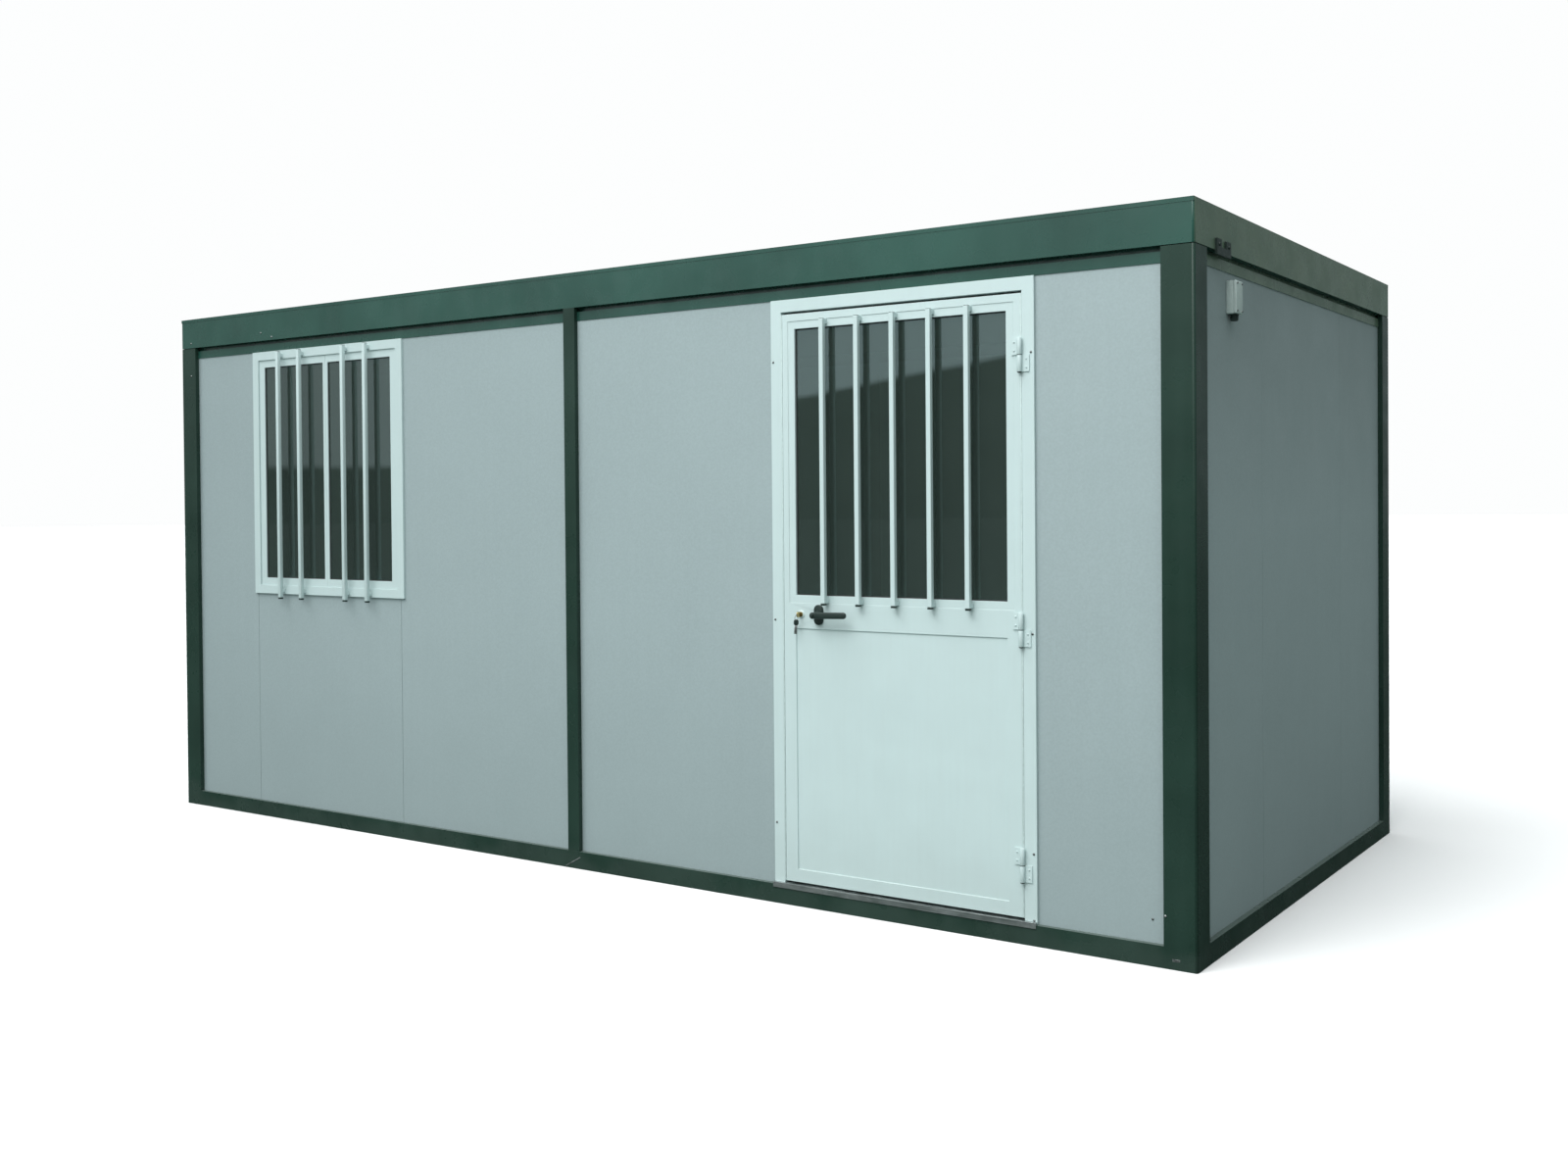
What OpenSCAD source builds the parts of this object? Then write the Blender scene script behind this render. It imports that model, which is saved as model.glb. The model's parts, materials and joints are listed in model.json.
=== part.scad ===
// Portable site cabin: a steel frame with sandwich-panel walls, one glazed door that
// swings outwards and one sliding window, both on the front.
// Millimetres. The origin is the middle of the footprint at the ground, +X runs along the
// cabin towards the inlet box, -Y is the front with the door and the window, +Z is up.

/* [Cabin] */
// Overall length, over the corner posts
cabin_l = 5170; // [4250:10:6400]
// Overall width, over the corner posts
cabin_w = 2440; // [2000:10:3000]
// Overall height, ground to the top of the fascia
cabin_h = 2400; // [2380:10:3000]

/* [Steel frame] */
// Width of a corner post's face on each side
post_face_w = 110; // [95:1:130]
// How far the wall panels sit behind the post faces
panel_recess = 20; // [12:1:30]
// Radius of the folded outer corners
corner_r = 9; // [4:1:16]
// Width of the post in the middle of each long wall
mid_post_w = 60; // [50:1:90]
// Width of the web behind that post, between the panels
mid_web_w = 56; // [30:1:60]
// Height of the base rails
base_rail_h = 70; // [60:1:120]
// Sheet thickness of the base rails and roof beams
sheet_t = 4; // [3:0.5:6]
// Height of the fascia on the roof beams
fascia_h = 140; // [110:1:180]
// Height of the shadow groove below the fascia
groove_h = 16; // [8:1:24]
// How far the groove goes in behind the panels' faces
groove_depth = 12; // [6:1:20]
// Height of the green band between the groove and the panels
band_h = 36; // [24:1:60]
// How far the band stands out from the panels
band_proud = 3; // [1:0.5:8]
// Width of the roof beam's bottom flange, which carries the roof panels
roof_seat_w = 100; // [85:1:140]
// Width of the roof beam's top flange
top_flange_w = 45; // [30:1:60]
// Depth of the turned-down lip on the top flange
top_lip_h = 15; // [8:1:30]
// Open joint between a post's faces and the fascia
post_top_gap = 3; // [1:0.5:6]
// Number of floor joists
joist_count = 8; // [6:1:12]
// Width of a floor joist
joist_w = 40; // [30:1:60]

/* [Walls, floor and roof] */
// Thickness of the wall panels
panel_t = 40; // [35:1:60]
// Width of a whole wall panel
panel_module = 1000; // [900:10:1050]
// Width of the line between two panels
panel_joint = 2; // [1:0.5:4]
// How deep the panels stand in the channel under the roof beam
panel_tuck = 25; // [15:1:40]
// Thickness of the floor deck
deck_t = 18; // [15:1:28]
// Thickness of the roof panels between their ribs
roof_panel_t = 40; // [30:1:60]
// Height of the roof ribs
rib_h = 35; // [20:1:45]
// Width of a roof rib at its foot
rib_foot_w = 62; // [40:1:80]
// Width of a roof rib at its top
rib_top_w = 24; // [16:1:36]
// Ribs on each roof panel
ribs_per_panel = 4; // [3:1:5]
// Distance from the fascia to the edge of the roof panels
gutter_w = 72; // [60:1:80]

/* [Door] */
// Middle of the door, from the middle of the cabin
door_x = 1512; // [1300:1:1530]
// Width over the door frame
door_unit_w = 1054; // [900:1:1100]
// Width of the frame's face
door_face_w = 45; // [35:1:60]
// How far the door and window frames stand out from the panels
frame_proud = 10; // [6:1:14]
// How far a frame's face laps over the wall panels
frame_lap = 28; // [15:1:32]
// Gap between the leaf and the frame
leaf_gap = 6; // [5.5:0.5:9]
// Gap over the leaf
head_gap = 9; // [6:0.5:14]
// Thickness of the leaf
leaf_t = 38; // [32:1:42]
// Width of the leaf's stiles, with their glazing bead
stile_w = 52; // [44:1:70]
// Height of the leaf's top rail
top_rail_h = 55; // [44:1:80]
// Height of the leaf's bottom rail
bottom_rail_h = 48; // [44:1:90]
// Height of the mid rail's lower edge above the ground
mid_rail_z = 1012; // [950:1:1100]
// Height of the mid rail
mid_rail_h = 121; // [110:1:160]
// Width of the glazing bead inside the stiles
bead_w = 28; // [18:1:34]
// Depth of the step down to the glazing bead
bead_step = 2; // [1:0.5:4]
// Thickness of the glass
glass_t = 6; // [4:1:8]
// Thickness of the door's lower panel
infill_t = 20; // [10:1:24]
// Width of the stop that the leaf closes against
stop_w = 15; // [10:1:20]
// Height of the threshold plate
sill_t = 8; // [5:1:10]
// Height of the threshold's front lip
sill_lip_h = 20; // [12:1:30]
// Gap between the threshold and the leaf
sill_gap = 8; // [6:0.5:12]

/* [Door bars] */
// Number of security bars
bar_count = 5; // [3:1:7]
// Distance between the bars
bar_pitch = 145; // [110:1:150]
// Side of the square bar
bar_size = 18; // [12:1:22]
// Gap between the bars and the face of the leaf
bar_standoff = 12; // [8:1:25]
// How far the bars run past the glass
bar_lap = 26; // [16:1:27]

/* [Hinges] */
// Length of a hinge's barrel
hinge_l = 112; // [80:1:140]
// Radius of the barrel
hinge_r = 8; // [6:0.5:10]
// Radius of the hinge pin
hinge_pin_r = 4; // [3:0.5:5]
// Clearance round the hinge pin
hinge_fit = 0.08; // [0.05:0.01:0.1]
// Thickness of the hinge's flaps
flap_t = 4; // [3:0.5:5]
// Width of the flaps
flap_w = 32; // [24:1:36]
// Height of the lowest hinge's middle
hinge_low_z = 262; // [220:1:400]
// Height of the middle hinge's middle
hinge_mid_z = 1042; // [900:1:1200]
// Height of the highest hinge's middle
hinge_high_z = 1950; // [1700:1:2000]

/* [Handle and lock] */
// Distance from the leaf's edge to the lock cylinder
lock_backset = 75; // [60:1:85]
// Distance from the lock cylinder to the lever's spindle
lever_offset = 77; // [60:1:100]
// Height of the lever and the lock above the ground
lever_z = 1064; // [1050:1:1075]
// Radius of the lock cylinder
lock_r = 9; // [7:0.5:11]
// How far the lock cylinder stands out on each side
lock_proud = 7; // [4:1:10]
// Height of the lever's plate
rose_h = 73; // [60:1:90]
// Width of the lever's plate
rose_w = 38; // [34:1:50]
// Thickness of the lever's plate
rose_t = 8; // [5:1:10]
// Radius of the lever's hub and spindle
hub_r = 10; // [8:0.5:13]
// Clearance round the spindle
spindle_fit = 0.1; // [0.05:0.01:0.3]
// Distance from the leaf to the grip's middle
lever_reach = 42; // [35:1:60]
// Length of the grip from the spindle
lever_l = 140; // [100:1:150]
// Height of the grip
lever_grip_h = 24; // [18:1:28]
// Thickness of the grip
lever_grip_t = 14; // [10:1:18]

/* [Window] */
// Middle of the window, from the middle of the cabin
window_x = -1520; // [-1530:1:-1300]
// Width over the window frame
window_w = 1040; // [800:1:1100]
// Height over the window frame
window_h = 1147; // [900:1:1300]
// Width of the window frame's face at the sides
window_side_w = 42; // [34:1:60]
// Height of the window frame's face at the top and bottom
window_head_h = 40; // [34:1:60]
// Thickness of the lips that hold the sashes in
window_lip_t = 5; // [3:1:7]
// How far the lips cover the sashes
window_lip_w = 8; // [5:1:10]
// Thickness of a sash
sash_t = 18; // [14:1:30]
// Running gap round the sashes
sash_gap = 1; // [0.5:0.5:2]
// Visible width of a sash's outer stile
sash_stile_w = 40; // [30:1:60]
// Visible height of a sash's rails
sash_rail_h = 35; // [28:1:50]
// Width of the two meeting stiles, side by side
meeting_stile_w = 32; // [28:1:60]
// Thickness of the window panes
pane_t = 4; // [4:1:6]

/* [Fittings] */
// Distance from the front corner to the inlet box
inlet_y = 348; // [150:1:400]
// Width of the inlet box
inlet_w = 66; // [50:1:140]
// Height of the inlet box
inlet_h = 108; // [80:1:140]
// Depth of the inlet box
inlet_d = 35; // [30:1:80]
// Gap between the green band and the inlet box
inlet_drop = 26; // [20:1:200]
// Distance from the box's near side to the middle of the power inlet under it
plug_y = 30; // [25:1:50]
// Radius of the power inlet
plug_r = 15; // [12:1:24]
// Length of the power inlet
plug_l = 22; // [15:1:40]
// Distance from the front corner to the cable bracket
bracket_y = 185; // [150:1:400]
// Length of the cable bracket
bracket_w = 134; // [110:1:180]
// Height of the bracket's foot
bracket_foot_h = 26; // [20:1:36]
// Width of each of the bracket's two prongs
bracket_prong_w = 44; // [20:1:50]
// Height of the prongs over the foot
bracket_prong_h = 26; // [12:1:36]
// Thickness of the bracket
bracket_t = 8; // [4:1:12]
// How far the bracket hangs below the fascia
bracket_drop = 15; // [0:1:16]
// Height of the earthing stud above the ground
stud_z = 250; // [200:1:400]
// Radius of the earthing stud
stud_r = 6; // [4:0.5:8]
// Length of the earthing stud outside the post
stud_l = 34; // [28:1:50]

/* [Hidden] */
half_l = cabin_l / 2;
half_w = cabin_w / 2;
core_w = panel_recess + panel_t;          // corner post: outer face to the wall's inner face
soffit_z = cabin_h - fascia_h;            // underside of the roof beams
band_top_z = soffit_z - groove_h;
band_z = band_top_z - band_h;             // underside of the band, top of what shows of the panels
panel_top_z = band_z + panel_tuck;
band_lip_t = 8;                           // inner leg of the channel that holds the panels
rail_end_gap = 0.5;                       // taken off each mitred end of those channels
deck_z = base_rail_h + deck_t;
hinge_zs = [hinge_low_z, hinge_mid_z, hinge_high_z];

// Wall panels: the first joint is a whole panel away from the web of the middle post.
joint_1 = mid_web_w / 2 + panel_module;
joint_2 = joint_1 + panel_module;
wall_end_l = half_l - core_w;
wall_end_w = half_w - core_w;
end_joint = panel_module / 2;

// Roof panels
roof_l = cabin_l - 2 * gutter_w;
roof_count = round(roof_l / panel_module);
roof_panel_w = roof_l / roof_count;
roof_z = soffit_z + sheet_t;
roof_panel_gap = 1;

// Door: u is measured along the wall, v inwards from the post faces
frame_v = panel_recess - frame_proud;
door_u0 = door_x - door_unit_w / 2;
door_u1 = door_x + door_unit_w / 2;
door_clear_u0 = door_u0 + door_face_w;
door_clear_u1 = door_u1 - door_face_w;
door_head_z = band_z - door_face_w;
leaf_u0 = door_clear_u0 + leaf_gap;
leaf_u1 = door_clear_u1 - leaf_gap;
leaf_z0 = base_rail_h + sill_t + sill_gap;
leaf_z1 = door_head_z - head_gap;
leaf_v1 = frame_v + leaf_t;
glass_z0 = mid_rail_z + mid_rail_h;
glass_z1 = leaf_z1 - top_rail_h;
infill_z0 = leaf_z0 + bottom_rail_h;
glass_v = frame_v + 12;
infill_v = frame_v + 4;
stop_clear = 5;
lock_u = leaf_u0 + lock_backset;
lever_u = lock_u + lever_offset;
hinge_u = leaf_u1 + leaf_gap / 2;
hinge_v = frame_v - hinge_r - 2;
knuckle_gap = 0.6;

// Window
window_u0 = window_x - window_w / 2;
window_u1 = window_x + window_w / 2;
window_z1 = band_z;
window_z0 = window_z1 - window_h;
pocket_v0 = frame_v + window_lip_t;
sash_v = pocket_v0 + sash_gap;
pocket_u0 = window_u0 + window_side_w - window_lip_w;
pocket_u1 = window_u1 - window_side_w + window_lip_w;
pocket_z0 = window_z0 + window_head_h - window_lip_w;
pocket_z1 = window_z1 - window_head_h + window_lip_w;

$fn = 48;

green = "#2f4d42";
panel_grey = "#9fb0b4";
white = "#dfe9e6";
steel = "#b9bdbd";
black = "#26302f";

// Places what is drawn as (u, v, z) on one side of the cabin: v runs inwards from the post faces.
module on_side(angle, half_depth) {
    rotate([0, 0, angle]) translate([0, -half_depth, 0]) children();
}
module on_front() { on_side(0, half_w) children(); }
module on_back() { on_side(180, half_w) children(); }
module on_right() { on_side(90, half_l) children(); }
module on_left() { on_side(270, half_l) children(); }

// A box from u0 to u1 along the wall, v0 to v1 inwards and z0 to z1 upwards.
module slab(u0, u1, v0, v1, z0, z1) {
    translate([u0, v0, z0]) cube([u1 - u0, v1 - v0, z1 - z0]);
}

// Runs a (v, z) outline along the wall from u0 to u1.
module run(u0, u1) {
    translate([u0, 0, 0]) rotate([90, 0, 90]) linear_extrude(u1 - u0) children();
}

// What lies inside the 45 degree mitres of one side, as deep as depth.
module mitre(half_side, depth) {
    linear_extrude(cabin_h + 1)
        polygon([[-half_side, 0], [half_side, 0], [half_side - depth, depth], [depth - half_side, depth]]);
}

// The sliver outside a rounded corner at the origin, for a corner that fills -x, +y.
module corner_sliver(r) {
    difference() {
        translate([-r, -1]) square([r + 1, r + 1]);
        translate([-r, r]) circle(r);
    }
}

// ---------------------------------------------------------------- steel frame

module rail_outline() {
    difference() {
        square([core_w, base_rail_h]);
        translate([sheet_t, sheet_t]) square([core_w, base_rail_h - 2 * sheet_t]);
    }
}

// The channel stops at the corner posts' cores and is cut round their faces.
module base_rail(half_side) {
    color(green) difference() {
        run(core_w - half_side, half_side - core_w) rail_outline();
        for (s = [-1, 1])
            translate([s * half_side - post_face_w, -1, -1])
                cube([2 * post_face_w, panel_recess + 1, base_rail_h + 2]);
    }
}

module base_rail_front() { on_front() base_rail(half_l); }
module base_rail_back() { on_back() base_rail(half_l); }
module base_rail_left() { on_left() base_rail(half_w); }
module base_rail_right() { on_right() base_rail(half_w); }

// Joists lie level with the rails' tops, and their ends are notched into the channels.
module floor_joists() {
    first = post_face_w - half_l;
    pitch = (-2 * first - joist_w) / (joist_count - 1);
    tongue_l = cabin_w - 2 * sheet_t;
    color(steel) for (i = [0 : joist_count - 1])
        translate([first + i * pitch, 0, 0]) {
            translate([0, -tongue_l / 2, sheet_t])
                cube([joist_w, tongue_l, base_rail_h - 2 * sheet_t]);
            translate([0, -wall_end_w, base_rail_h - sheet_t])
                cube([joist_w, 2 * wall_end_w, sheet_t]);
        }
}

module floor_deck() {
    color("#6c6f6a") translate([-wall_end_l, -wall_end_w, base_rail_h])
        cube([2 * wall_end_l, 2 * wall_end_w, deck_t]);
}

// The post of the +X, -Y corner: two faces over a square core that the panels butt against.
module corner_post() {
    color(green) {
        linear_extrude(soffit_z - post_top_gap) difference() {
            polygon([[0, 0], [0, post_face_w], [-panel_recess, post_face_w], [-panel_recess, core_w],
                [-core_w, core_w], [-core_w, panel_recess], [-post_face_w, panel_recess], [-post_face_w, 0]]);
            corner_sliver(corner_r);
        }
        translate([-core_w, corner_r, 0]) cube([core_w - corner_r, core_w - corner_r, soffit_z]);
    }
}

module corner_post_front_right() { translate([half_l, -half_w, 0]) corner_post(); }
module corner_post_front_left() { mirror([1, 0, 0]) corner_post_front_right(); }
module corner_post_back_right() { mirror([0, 1, 0]) corner_post_front_right(); }
module corner_post_back_left() { mirror([1, 0, 0]) corner_post_back_right(); }

// The middle post's face stands proud of the panels, and its web parts them.
module mid_post() {
    color(green) {
        slab(-mid_post_w / 2, mid_post_w / 2, 0, panel_recess, base_rail_h, soffit_z);
        slab(-mid_web_w / 2, mid_web_w / 2, panel_recess, core_w, base_rail_h, panel_top_z);
    }
}

module mid_post_front() { on_front() mid_post(); }
module mid_post_back() { on_back() mid_post(); }

module roof_beam_outline() {
    translate([0, soffit_z]) square([sheet_t, fascia_h]);
    translate([0, soffit_z]) square([roof_seat_w, sheet_t]);
    translate([0, cabin_h - sheet_t]) square([top_flange_w, sheet_t]);
    translate([top_flange_w - sheet_t, cabin_h - top_lip_h]) square([sheet_t, top_lip_h]);
}

// A roof beam with mitred ends and rounded outer corners.
module roof_beam(half_side) {
    color(green) intersection() {
        run(-half_side, half_side) roof_beam_outline();
        difference() {
            mitre(half_side, roof_seat_w);
            for (s = [0, 1]) mirror([s, 0, 0]) translate([half_side, 0, 0])
                linear_extrude(cabin_h + 1) corner_sliver(corner_r);
        }
    }
}

module roof_beam_front() { on_front() roof_beam(half_l); }
module roof_beam_back() { on_back() roof_beam(half_l); }
module roof_beam_left() { on_left() roof_beam(half_w); }
module roof_beam_right() { on_right() roof_beam(half_w); }

module head_rail_outline() {
    face_v = panel_recess - band_proud;
    translate([face_v, band_z]) square([band_proud, band_h]);
    translate([face_v, panel_top_z]) square([core_w + band_lip_t - face_v, band_top_z - panel_top_z]);
    translate([core_w, band_z]) square([band_lip_t, band_h]);
    translate([panel_recess + groove_depth, band_top_z])
        square([panel_t + band_lip_t - groove_depth, groove_h]);
}

// The channel that holds the panels' tops: its front leg is the band that shows.
// Its mitred ends stop just short of the next channel's.
module head_rail(half_side, with_mid_post) {
    intersection() {
        difference() {
            run(core_w - half_side, half_side - core_w) head_rail_outline();
            for (s = [-1, 1])
                translate([s * half_side - post_face_w, -1, 0])
                    cube([2 * post_face_w, panel_recess + 1, cabin_h]);
            if (with_mid_post)
                slab(-mid_post_w / 2, mid_post_w / 2, -1, panel_recess, 0, cabin_h);
        }
        mitre(half_side - rail_end_gap, core_w + band_lip_t);
    }
}

module head_rails() {
    color(green) {
        on_front() head_rail(half_l, true);
        on_back() head_rail(half_l, true);
        on_left() head_rail(half_w, false);
        on_right() head_rail(half_w, false);
    }
}

// ---------------------------------------------------------------- walls and roof

// Ribbed roof panels, laid side by side from end to end.
module roof_panels() {
    rib_pitch = roof_panel_w / ribs_per_panel;
    top_z = roof_z + roof_panel_t;
    color(panel_grey) for (i = [0 : roof_count - 1])
        translate([-roof_l / 2 + i * roof_panel_w, half_w - gutter_w, 0])
            rotate([90, 0, 0]) linear_extrude(cabin_w - 2 * gutter_w) {
                translate([roof_panel_gap / 2, roof_z])
                    square([roof_panel_w - roof_panel_gap, roof_panel_t]);
                for (k = [0 : ribs_per_panel - 1])
                    translate([(k + 0.5) * rib_pitch, top_z - 1])
                        polygon([[-rib_foot_w / 2, 0], [rib_foot_w / 2, 0],
                            [rib_foot_w / 2, 1], [rib_top_w / 2, rib_h + 1],
                            [-rib_top_w / 2, rib_h + 1], [-rib_foot_w / 2, 1]]);
            }
}

// One wall panel between two lines along the wall.
module wall_panel(u0, u1) {
    slab(u0, u1, panel_recess, core_w, base_rail_h, panel_top_z);
}

module window_hole() {
    slab(window_u0 + frame_lap, window_u1 - frame_lap, 0, cabin_w / 4,
        window_z0 + frame_lap, cabin_h);
}

module door_hole() {
    slab(door_u0 + frame_lap, door_u1 - frame_lap, 0, cabin_w / 4, 0, cabin_h);
}

// A panel of the front wall, less what the door and window openings take from it.
module front_panel(u0, u1) {
    color(panel_grey) on_front() difference() {
        wall_panel(u0, u1);
        window_hole();
        door_hole();
    }
}

module wall_panel_front_left() { front_panel(-wall_end_l, -joint_2 - panel_joint / 2); }
module wall_panel_under_window() {
    front_panel(-joint_2 + panel_joint / 2, -joint_1 - panel_joint / 2);
}
module wall_panel_beside_window() { front_panel(-joint_1 + panel_joint / 2, -mid_web_w / 2); }
module wall_panel_beside_door() { front_panel(mid_web_w / 2, door_u0 + frame_lap); }
module wall_panel_front_right() { front_panel(door_u1 - frame_lap, wall_end_l); }

// The back wall has the same joints as the front, and no openings.
module wall_panels_back() {
    j = panel_joint / 2;
    color(panel_grey) on_back() for (s = [0, 1]) mirror([s, 0, 0]) {
        wall_panel(mid_web_w / 2, joint_1 - j);
        wall_panel(joint_1 + j, joint_2 - j);
        wall_panel(joint_2 + j, wall_end_l);
    }
}

// An end wall: one whole panel in the middle and a cut one at each side.
module end_wall() {
    j = panel_joint / 2;
    color(panel_grey) {
        wall_panel(-wall_end_w, -end_joint - j);
        wall_panel(-end_joint + j, end_joint - j);
        wall_panel(end_joint + j, wall_end_w);
    }
}

module wall_panels_left() { on_left() end_wall(); }
module wall_panels_right() { on_right() end_wall(); }

// ---------------------------------------------------------------- door

// Face, box and stop of the frame; it has no bottom member.
module door_frame() {
    color(white) on_front() {
        difference() {
            slab(door_u0, door_u1, frame_v, panel_recess, base_rail_h, band_z);
            slab(door_clear_u0, door_clear_u1, 0, cabin_w, 0, door_head_z);
        }
        difference() {
            slab(door_u0 + frame_lap, door_u1 - frame_lap, panel_recess, core_w,
                base_rail_h, panel_top_z);
            slab(door_clear_u0, door_clear_u1, 0, leaf_v1 + stop_clear, 0, door_head_z);
            slab(door_clear_u0 + stop_w, door_clear_u1 - stop_w, 0, cabin_w,
                0, door_head_z - stop_w);
        }
    }
}

// A plate between the jambs with a lip that laps over the base rail.
module door_threshold() {
    lip_t = 3;
    color(steel) on_front() {
        slab(door_u0, door_u1, -lip_t, frame_v, base_rail_h, base_rail_h + sill_t);
        slab(door_clear_u0, door_clear_u1, frame_v, leaf_v1 + stop_clear,
            base_rail_h, base_rail_h + sill_t);
        slab(door_clear_u0 + stop_w, door_clear_u1 - stop_w, leaf_v1 + stop_clear, core_w,
            base_rail_h, base_rail_h + sill_t);
        slab(door_u0, door_u1, -lip_t, 0, base_rail_h + sill_t - sill_lip_h, base_rail_h + sill_t);
    }
}

// A round hole or bar that runs inwards from v0 to v1.
module round_bar(u, z, r, v0, v1) {
    translate([u, v0, z]) rotate([-90, 0, 0]) cylinder(h = v1 - v0, r = r);
}

module spindle_bore() {
    round_bar(lever_u, lever_z, hub_r + spindle_fit, -core_w, 2 * core_w);
}

// Stiles and rails, with a shallow step to the bead round the glass and the lower panel.
module door_leaf() {
    in_u0 = leaf_u0 + stile_w;
    in_u1 = leaf_u1 - stile_w;
    color(white) on_front() difference() {
        slab(leaf_u0, leaf_u1, frame_v, leaf_v1, leaf_z0, leaf_z1);
        slab(in_u0, in_u1, 0, core_w, glass_z0, glass_z1);
        slab(in_u0, in_u1, 0, core_w, infill_z0, mid_rail_z);
        slab(in_u0 - bead_w, in_u1 + bead_w, 0, frame_v + bead_step,
            glass_z0 - bead_w, glass_z1 + bead_w);
        round_bar(lock_u, lever_z, lock_r, 0, core_w);
        spindle_bore();
    }
}

module door_glass() {
    color("#33403c") on_front()
        slab(leaf_u0 + stile_w, leaf_u1 - stile_w, glass_v, glass_v + glass_t, glass_z0, glass_z1);
}

module door_lower_panel() {
    color(white) on_front()
        slab(leaf_u0 + stile_w, leaf_u1 - stile_w, infill_v, infill_v + infill_t,
            infill_z0, mid_rail_z);
}

// Upright square bars in front of the glass, each with a foot at both ends.
module door_bars() {
    top_z = glass_z1 + bar_lap;
    low_z = glass_z0 - bar_lap;
    front_v = frame_v - bar_standoff - bar_size;
    mid_u = (leaf_u0 + leaf_u1) / 2;
    color(white) on_front() for (i = [0 : bar_count - 1])
        translate([mid_u + (i - (bar_count - 1) / 2) * bar_pitch - bar_size / 2, 0, 0]) {
            slab(0, bar_size, front_v, front_v + bar_size, low_z, top_z);
            for (z = [low_z, top_z - bar_size])
                slab(0, bar_size, front_v + bar_size, frame_v + bead_step, z, z + bar_size);
        }
}

// Plates under the lever, outside and inside, bored for the spindle.
module door_lever_plates() {
    color(black) on_front() difference() {
        for (v = [frame_v - rose_t, leaf_v1])
            slab(lever_u - rose_w / 2, lever_u + rose_w / 2, v, v + rose_t,
                lever_z - rose_h / 2, lever_z + rose_h / 2);
        spindle_bore();
    }
}

// Both grips on one spindle, so that they turn together.
module door_lever() {
    outer_v = frame_v - lever_reach;
    inner_v = leaf_v1 + lever_reach;
    color(black) on_front() {
        round_bar(lever_u, lever_z, hub_r, outer_v, inner_v);
        for (v = [outer_v, inner_v]) {
            slab(lever_u, lever_u + lever_l - lever_grip_h / 2, v - lever_grip_t / 2,
                v + lever_grip_t / 2, lever_z - lever_grip_h / 2, lever_z + lever_grip_h / 2);
            for (u = [0, lever_l - lever_grip_h / 2])
                round_bar(lever_u + u, lever_z, lever_grip_h / 2,
                    v - lever_grip_t / 2, v + lever_grip_t / 2);
        }
    }
}

module lock_cylinder() {
    color("#b59b5a") on_front()
        round_bar(lock_u, lever_z, lock_r, frame_v - lock_proud, leaf_v1 + lock_proud);
}

// Lower half of each hinge, on the frame, with the pin for both halves.
module hinges_frame_side() {
    color(white) on_front() for (z = hinge_zs) {
        translate([hinge_u, hinge_v, z - hinge_l / 2])
            cylinder(h = hinge_l / 2 - knuckle_gap / 2, r = hinge_r);
        translate([hinge_u, hinge_v, z - hinge_l / 2])
            cylinder(h = hinge_l - 4, r = hinge_pin_r);
        slab(hinge_u, hinge_u + flap_w, frame_v - flap_t, frame_v,
            z - hinge_l / 2, z - knuckle_gap / 2);
    }
}

// Upper half of each hinge, on the leaf, bored for the pin from below.
module hinges_leaf_side() {
    color(white) on_front() for (z = hinge_zs)
        difference() {
            union() {
                translate([hinge_u, hinge_v, z + knuckle_gap / 2])
                    cylinder(h = hinge_l / 2 - knuckle_gap / 2, r = hinge_r);
                slab(hinge_u - flap_w, hinge_u, frame_v - flap_t, frame_v,
                    z + knuckle_gap / 2, z + hinge_l / 2);
            }
            translate([hinge_u, hinge_v, z])
                cylinder(h = hinge_l / 2 - 3, r = hinge_pin_r + hinge_fit);
        }
}

// ---------------------------------------------------------------- window

// What is hollow in the window frame between v0 and v1, inset from the frame's outer edge.
module window_hollow(v0, v1, side, head) {
    slab(window_u0 + side, window_u1 - side, v0, v1, window_z0 + head, window_z1 - head);
}

// A frame with a pocket behind its lip, where the two sashes stand side by side.
module window_frame() {
    pocket_v1 = sash_v + sash_t + sash_gap;
    pocket_side = window_side_w - window_lip_w;
    pocket_head = window_head_h - window_lip_w;
    color(white) on_front() difference() {
        union() {
            slab(window_u0, window_u1, frame_v, panel_recess, window_z0, window_z1);
            slab(window_u0 + frame_lap, window_u1 - frame_lap, frame_v, core_w,
                window_z0 + frame_lap, window_z1);
            slab(window_u0 + frame_lap, window_u1 - frame_lap, panel_recess, core_w,
                window_z1 - frame_lap, panel_top_z);
        }
        window_hollow(0, cabin_w / 4, window_side_w, window_head_h);
        window_hollow(pocket_v0, pocket_v1, pocket_side, pocket_head);
    }
}

// A sash from u0 to u1: its stiles and rails, less the glass.
module sash(u0, u1, v, stile_0, stile_1) {
    color(white) on_front() difference() {
        slab(u0, u1, v, v + sash_t, pocket_z0, pocket_z1 - sash_gap);
        slab(u0 + stile_0, u1 - stile_1, 0, core_w,
            pocket_z0 + window_lip_w + sash_rail_h, pocket_z1 - window_lip_w - sash_rail_h);
    }
}

module window_sash_left() {
    sash(pocket_u0 + sash_gap, window_x - sash_gap / 2, sash_v,
        sash_stile_w + window_lip_w - sash_gap, (meeting_stile_w - sash_gap) / 2);
}

module window_sash_right() {
    sash(window_x + sash_gap / 2, pocket_u1 - sash_gap, sash_v,
        (meeting_stile_w - sash_gap) / 2, sash_stile_w + window_lip_w - sash_gap);
}

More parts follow.
